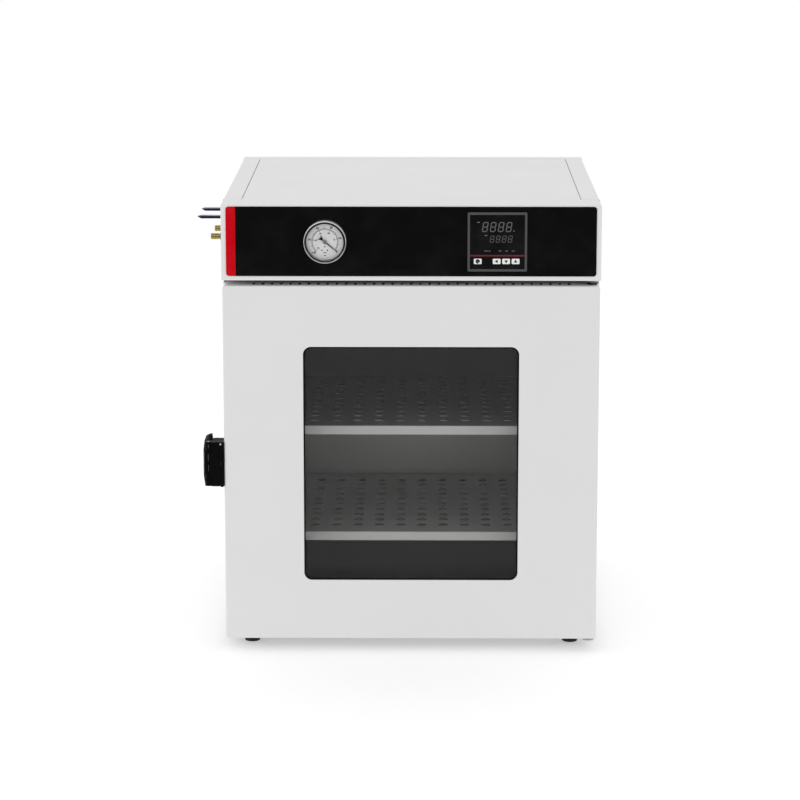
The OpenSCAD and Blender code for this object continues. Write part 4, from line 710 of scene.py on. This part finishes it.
# %% [markdown]
# Numbers come from Blender's own font as thin text, made into a mesh and then moved, since
# an object's place must lie in its mesh. They stand upright all round the card.

# %% Numbers on the dial and the marks under its middle
def text_mesh(word, height_mm):
    """Text as a thin mesh, centred on the origin and facing -Y."""
    curve = bpy.data.curves.new("number", "FONT")
    curve.body = word
    curve.size = height_mm * MM / 0.7
    curve.align_x, curve.align_y = "CENTER", "CENTER"
    curve.extrude = PRINT_MM * MM / 2
    curve.offset = 0.00012
    curve.resolution_u = 3
    obj = bpy.data.objects.new("number", curve)
    mesh = bpy.data.meshes.new_from_object(obj)
    mesh.transform(Matrix.Rotation(math.radians(90), 4, "X"))
    bpy.data.objects.remove(obj)
    return mesh


def numbers_round(name, words, r, height_mm):
    """Upright numbers spread over the scale, joined into one mesh."""
    bm = bmesh.new()
    for i, word in enumerate(words):
        turn = math.radians(ZERO_TURN + SCALE_SWEEP * i / (len(words) - 1))
        mesh = text_mesh(word, height_mm)
        mesh.transform(Matrix.Translation((r * MM * math.cos(turn), -PRINT_MM * MM / 2,
                                           r * MM * math.sin(turn))))
        bm.from_mesh(mesh)
        bpy.data.meshes.remove(mesh)
    joined = bpy.data.meshes.new(name)
    bm.to_mesh(joined)
    bm.free()
    return place_piece(name, joined, ink_black, dial_at, "casing")


dial_parts.append(numbers_round("dial_numbers_outer", ["0", "20", "40", "60", "80", "100"],
                                25.0, 3.2))
dial_parts.append(numbers_round("dial_numbers_inner", ["0", "15", "30", "45", "60", "75"],
                                15.0, 2.7))
DOTS = [(-0.2, -8.0), (-5.0, -13.9), (4.0, -14.1)]
dots = [ring_outline(1.15, steps=12, centre=c)[:-1] for c in DOTS]
dots.append(bar_outline(-2.8, 2.4, -18.3, -17.1))
dots.append(bar_outline(-2.0, 1.8, -22.9, -21.7))
dial_parts.append(place_piece("dial_marks", slab_mesh("dial_marks", dots), ink_black,
                              dial_at, "casing"))

# %% [markdown]
# The pointer is held by a small turned cap of bare aluminium, pressed on the arbor. It
# turns with the pointer, so it rides on the pointer's body.

# %% Pointer cap
pointer_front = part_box("gauge_pointer")[0].y
cap = lathe_mesh("pointer_cap", [(0.9, 3.5), (-0.1, 3.5), (-0.7, 2.9), (-0.9, 1.2), (-0.6, 0.6)])
pointer_cap = place_piece("pointer_cap", cap, aluminium,
                          Vector((dial_at.x, pointer_front, dial_at.z)), "pointer")

# %% [markdown]
# ## Border of the outer pane
# A thin dark line runs round the window just inside the opening. It is taken for the edge
# of a black ceramic border on the glass, as glued panes often have; a rubber bead would
# look the same. It is a ring between two rounded outlines, made as one row of quads.

# %% Dark line round the pane
PANE_LAP = 18.0


def round_outline(w, h, r, steps=6):
    """Outline of a rounded rectangle about the origin, in mm."""
    corners = ((w / 2 - r, h / 2 - r, 0), (-w / 2 + r, h / 2 - r, 90),
               (-w / 2 + r, -h / 2 + r, 180), (w / 2 - r, -h / 2 + r, 270))
    return [p for x, z, turn in corners for p in ring_outline(r, turn, turn + 90, steps, (x, z))]


pane_mid, pane_front = middle("outer_window"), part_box("outer_window")[0].y
window_mm = [c / MM - 2 * PANE_LAP for c in (size_of("outer_window").x, size_of("outer_window").z)]
outer, inner = round_outline(*window_mm, 13.0), round_outline(*[c - 5 for c in window_mm], 10.5)
border = [[outer[i - 1], outer[i], inner[i], inner[i - 1]] for i in range(len(outer))]
pane_border = place_piece("pane_border", slab_mesh("pane_border", border, 0.03), ink_black,
                          Vector((pane_mid.x, pane_front, pane_mid.z)), "door")

# %% [markdown]
# ## The controller's display
# Behind the dark film sit two rows of seven-segment digits. Switched off they show as grey
# ghosts, all segments alike. One slanted digit is drawn from seven six-sided segments, and
# the row tree repeats it; the same digit, smaller, makes the second row.

# %% Digits, indicator bars and the red line
SLANT = math.tan(math.radians(9))


def segment(x0, z0, x1, z1, w):
    """A six-sided segment between two points, upright or level, leaning with the digit."""
    if x0 == x1:
        points = [(x0, z0), (x0 + w, z0 + w), (x0 + w, z1 - w), (x0, z1), (x0 - w, z1 - w),
                  (x0 - w, z0 + w)]
    else:
        points = [(x0, z0), (x0 + w, z0 - w), (x1 - w, z0 - w), (x1, z0), (x1 - w, z0 + w),
                  (x0 + w, z0 + w)]
    return [(x + SLANT * z, z) for x, z in points]


def digit_mesh(name, width, height, stroke):
    """All seven segments of a digit about its middle; width and height between stroke lines."""
    a, b, w, gap = width / 2, height / 2, stroke / 2, stroke * 0.12
    return slab_mesh(name, [
        segment(-a + gap, b, a - gap, b, w), segment(-a + gap, 0, a - gap, 0, w),
        segment(-a + gap, -b, a - gap, -b, w),
        segment(-a, gap, -a, b - gap, w), segment(a, gap, a, b - gap, w),
        segment(-a, -b + gap, -a, -gap, w), segment(a, -b + gap, a, -gap, w)])


digit_grey = moulded("led_segments_unlit", "5E5E5F", 0.5, 1.0, 0.002)
small_grey = moulded("led_segments_unlit_small", "4C4C4D", 0.5, 1.0, 0.002)
line_red = moulded("film_print_dark_red", "6A1724", 0.4, 1.0, 0.002)
bar_grey = moulded("film_print_grey", "77777A", 0.5, 1.0, 0.002)


def on_face(x, z):
    """A place on the controller's film, in mm from its middle."""
    return face_at + Vector((x * MM, 0, z * MM))


main_digits = grow("display_digits_main", digit_mesh("digit", 7.4, 14.6, 1.5), ROW,
                   {"Count": 4, "Step": (12.8 * MM, 0, 0)}, digit_grey, on_face(-19.7, 24.4),
                   "casing")
small_digits = grow("display_digits_set", digit_mesh("digit", 5.6, 10.4, 1.2), ROW,
                    {"Count": 4, "Step": (9.7 * MM, 0, 0)}, small_grey, on_face(-8.4, 4.8),
                    "casing")
BARS = [(-32.5, -28.6, 31.4, 32.6), (-20.3, -16.6, 10.0, 11.2), (25.8, 27.4, 17.4, 18.8),
        (-20.9, -15.0, -15.0, -14.1), (-14.0, -11.0, -15.0, -14.1), (2.2, 6.4, -15.0, -14.1),
        (13.0, 17.2, -15.0, -14.1), (23.0, 28.0, -15.0, -14.1)]
bars = place_piece("display_indicator_bars",
                   slab_mesh("display_indicator_bars", [bar_outline(*b) for b in BARS]),
                   bar_grey, face_at, "casing")
red_line = place_piece("display_red_line",
                       slab_mesh("display_red_line", [bar_outline(-43.6, 43.6, -23.5, -21.0)]),
                       line_red, face_at, "casing")

# %% [markdown]
# ## Signs on the keys
# Three keys carry a filled arrow head and one a round sign, printed in black. Each sign
# rides on its own key, so it goes in with it.

# %% Key signs
def arrow_head(turn):
    """A triangle about the origin, its point turned from +X by turn degrees."""
    return [(3.3 * math.cos(math.radians(turn + a)), 3.3 * math.sin(math.radians(turn + a)))
            for a in (0, 122, 238)]


loop = arc_outlines(1.9, 3.2, -35, 300, 20)
SIGNS = {"set_key": loop, "shift_key": [arrow_head(180)], "down_key": [arrow_head(270)],
         "up_key": [arrow_head(90)]}
for key, outlines in SIGNS.items():
    front = Vector((middle(key).x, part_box(key)[0].y, middle(key).z))
    sign = place_piece("sign_" + key, slab_mesh("sign_" + key, outlines), ink_black, front,
                       body_of[key])

# %% [markdown]
# ## Screws and hose ends
# The rear cover and the door's back plate are held by pan head screws with a cross recess.
# Where each screw is comes from the loose islands of its CAD node, and at those points a
# dark flat cross is grown, painted shade that stands for the recess. The brass hose ends get
# three barbs each, to grip a hose.

# %% Cross recesses
def island_boxes(node):
    """(lowest, highest) corner of every separate solid in a CAD node, in a fixed order."""
    bm = bmesh.new()
    bm.from_mesh(nodes[node].data)
    bmesh.ops.remove_doubles(bm, verts=bm.verts, dist=0.002 * MM)
    left, boxes = set(bm.verts), []
    while left:
        todo, island = [left.pop()], []
        while todo:
            v = todo.pop()
            island.append(v.co.copy())
            for edge in v.link_edges:
                other = edge.other_vert(v)
                if other in left:
                    left.remove(other)
                    todo.append(other)
        boxes.append((Vector(map(min, *island)), Vector(map(max, *island))))
    bm.free()
    return sorted(boxes, key=lambda box: [round(c, 4) for c in box[0]])


def cross_recess(name):
    """A thin dark cross facing +Y: painted shade that stands for a recess."""
    arm, half_slot = 1.5, 0.32
    mesh = slab_mesh(name, [bar_outline(-arm, arm, -half_slot, half_slot),
                            bar_outline(-half_slot, half_slot, -arm, -half_slot),
                            bar_outline(-half_slot, half_slot, half_slot, arm)], 0.05)
    mesh.transform(Matrix.Rotation(math.radians(180), 4, "Z"))
    obj = bpy.data.objects.new(name, mesh)
    bpy.context.collection.objects.link(obj)
    return obj


# Painted shade: a dark zinc tone for the shadowed recess.
recess_shade = plated_metal("zinc_plate_recess_painted_shade", "3A3B3D", 0.5)


def recesses(name, node, body):
    """Recesses on the screws of a node that point to the rear."""
    backs = [box for box in island_boxes(node) if (box[1] - box[0]).y > (box[1] - box[0]).x]
    mesh = bpy.data.meshes.new(name)
    mesh.from_pydata([((lo.x + hi.x) / 2, hi.y, (lo.z + hi.z) / 2) for lo, hi in backs], [], [])
    cross = cross_recess("one_cross")
    piece = grow(name, mesh, POINTS, {"Piece": cross}, recess_shade, Vector((0, 0, 0)), body)
    bpy.data.objects.remove(cross)
    return piece


recesses("rear_screw_recesses", "cover_screws", "casing")
recesses("door_screw_recesses", "door_screws", "door")

# %% Barbs on the hose ends
hose_axis_z = next(m["pos_m"][2] for m in frame["record"]["mounts"]
                   if m["name"] == "vacuum_hose_spigot")
for lo, hi in island_boxes("valve_bodies"):
    barb = lathe_mesh("barb", [(0.0, 4.95), (0.4, 5.25), (3.1, 5.75), (3.4, 4.95)], "X", 40)
    piece = grow("hose_barbs_front" if lo.y < middle("valve_bodies").y - 0.02 else
                 "hose_barbs_rear", barb, ROW, {"Count": 3, "Step": (4.4 * MM, 0, 0)}, brass,
                 Vector((lo.x + 0.0006, (lo.y + hi.y) / 2, hose_axis_z)), "casing")

# %% [markdown]
# ## Floor, camera and light
# The oven stands on plain white paper in a light tent, so the white paint shows its edges
# by tone alone. Glass and gloss black would show only the tent, so a studio hangs
# black cloth around the camera and turns a polarising filter until the panes clear. Real
# cloth would take light from the paint, so here paper and tent turn dark only for the rays
# that bounce straight off a gloss surface. Light Path's depths tell these from the others.

# %% Rays that the black cloth and the filter catch
def straight_mirror(tree):
    """1 for a mirror ray that met no matt surface and didn't come from behind both panes."""
    path = add(tree, "ShaderNodeLightPath")
    no_matt = add(tree, "ShaderNodeMath", {"operation": "LESS_THAN"},
                  {0: path.outputs["Diffuse Depth"]})
    no_matt.inputs[1].default_value = 0.5
    outside = add(tree, "ShaderNodeMath", {"operation": "LESS_THAN"},
                  {0: path.outputs["Transmission Depth"]})
    outside.inputs[1].default_value = 6.5
    both = add(tree, "ShaderNodeMath", {"operation": "MULTIPLY"},
               {0: no_matt.outputs[0], 1: outside.outputs[0]})
    return add(tree, "ShaderNodeMath", {"operation": "MULTIPLY"},
               {0: both.outputs[0], 1: path.outputs["Is Glossy Ray"]}).outputs[0]


# %% Floor
floor_mesh = bpy.data.meshes.new("studio_floor")
FLOOR_HALF = 3.3
corners = [(x * FLOOR_HALF, y * FLOOR_HALF, floor_z)
           for x, y in ((-1, -1), (1, -1), (1, 1), (-1, 1))]
floor_mesh.from_pydata(corners, [], [(0, 1, 2, 3)])
floor = bpy.data.objects.new("studio_floor", floor_mesh)
bpy.context.collection.objects.link(floor)
paper, tree, shader = new_material("matt_white_paper")
settings(shader, "E2E2E2", 0.0, 1.0, specular_ior_level=0.0, emission_color=(1, 1, 1, 1),
         emission_strength=0.36)
cloth = add(tree, "ShaderNodeBsdfDiffuse", {"Color": rgb("A0A0A0")})
ahead = to_range(tree, add(tree, "ShaderNodeSeparateXYZ", links={
    0: add(tree, "ShaderNodeTexCoord").outputs["Object"]}).outputs["Y"], 0.0, 1.0, (-0.55, -0.75))
on_cloth = add(tree, "ShaderNodeMath", {"operation": "MULTIPLY"},
               {0: straight_mirror(tree), 1: ahead})
seen = add(tree, "ShaderNodeMixShader", links={0: on_cloth.outputs[0], 1: shader.outputs[0],
                                               2: cloth.outputs[0]})
output = next(n for n in tree.nodes if n.type == "OUTPUT_MATERIAL")
tree.links.new(seen.outputs[0], output.inputs[0])
floor.data.materials.append(paper)
print("floor at", round(floor_z, 4))

# %% Camera
camera_data = bpy.data.cameras.new("camera")
camera = bpy.data.objects.new("camera", camera_data)
bpy.context.collection.objects.link(camera)
camera_data.sensor_width = 36.0
camera_data.lens = 128.4
camera_data.shift_y = -0.05
camera.location = (0.0575, -4.871, 1.384)
camera.rotation_euler = (math.radians(90 - 11.01), 0.0, math.radians(0.49))
camera_data.clip_end = 60.0
bpy.context.scene.camera = camera
print("camera", [round(c, 3) for c in camera.location])

# %% Light
world = bpy.data.worlds.new("light_tent")
bpy.context.scene.world = world
world.use_nodes = True
sky = world.node_tree
background = sky.nodes["Background"]
background.inputs["Color"].default_value = (1.0, 1.0, 1.0, 1.0)
along = add(sky, "ShaderNodeSeparateXYZ", links={0: add(sky, "ShaderNodeTexCoord").outputs[0]})
front_part = add(sky, "ShaderNodeMapRange", {"From Min": -0.45, "From Max": -0.85},
                 {"Value": along.outputs["Y"]})
low_part = add(sky, "ShaderNodeMapRange", {"From Min": 0.35, "From Max": 0.05},
               {"Value": along.outputs["Z"]})
cloth_part = add(sky, "ShaderNodeMath", {"operation": "MULTIPLY"},
                 {0: front_part.outputs[0], 1: low_part.outputs[0]})
in_mirrors = add(sky, "ShaderNodeMath", {"operation": "MULTIPLY"},
                 {0: cloth_part.outputs[0], 1: straight_mirror(sky)})
tent = add(sky, "ShaderNodeMapRange", {"From Min": 0.2, "To Min": 1.0, "To Max": 0.86},
           {"Value": along.outputs["Z"]})
strength = add(sky, "ShaderNodeMapRange", {"To Max": 0.03},
               {"Value": in_mirrors.outputs[0], "To Min": tent.outputs[0]})
sky.links.new(strength.outputs[0], background.inputs["Strength"])
scene = bpy.context.scene
scene.view_settings.view_transform = "Standard"


def soft_lamp(name, at, aim, size, watts):
    data = bpy.data.lights.new(name, "AREA")
    data.shape = "RECTANGLE"
    data.size, data.size_y = size
    data.energy = watts
    lamp = bpy.data.objects.new(name, data)
    bpy.context.collection.objects.link(lamp)
    lamp.location = at
    lamp.rotation_euler = (Vector(aim) - Vector(at)).to_track_quat("-Z", "Y").to_euler()
    return lamp


oven_middle = (cad_lo + cad_hi) / 2
soft_lamp("side_soft", (-2.6, -2.0, 2.0), oven_middle, (1.6, 1.6), 4)
print("lamps on")
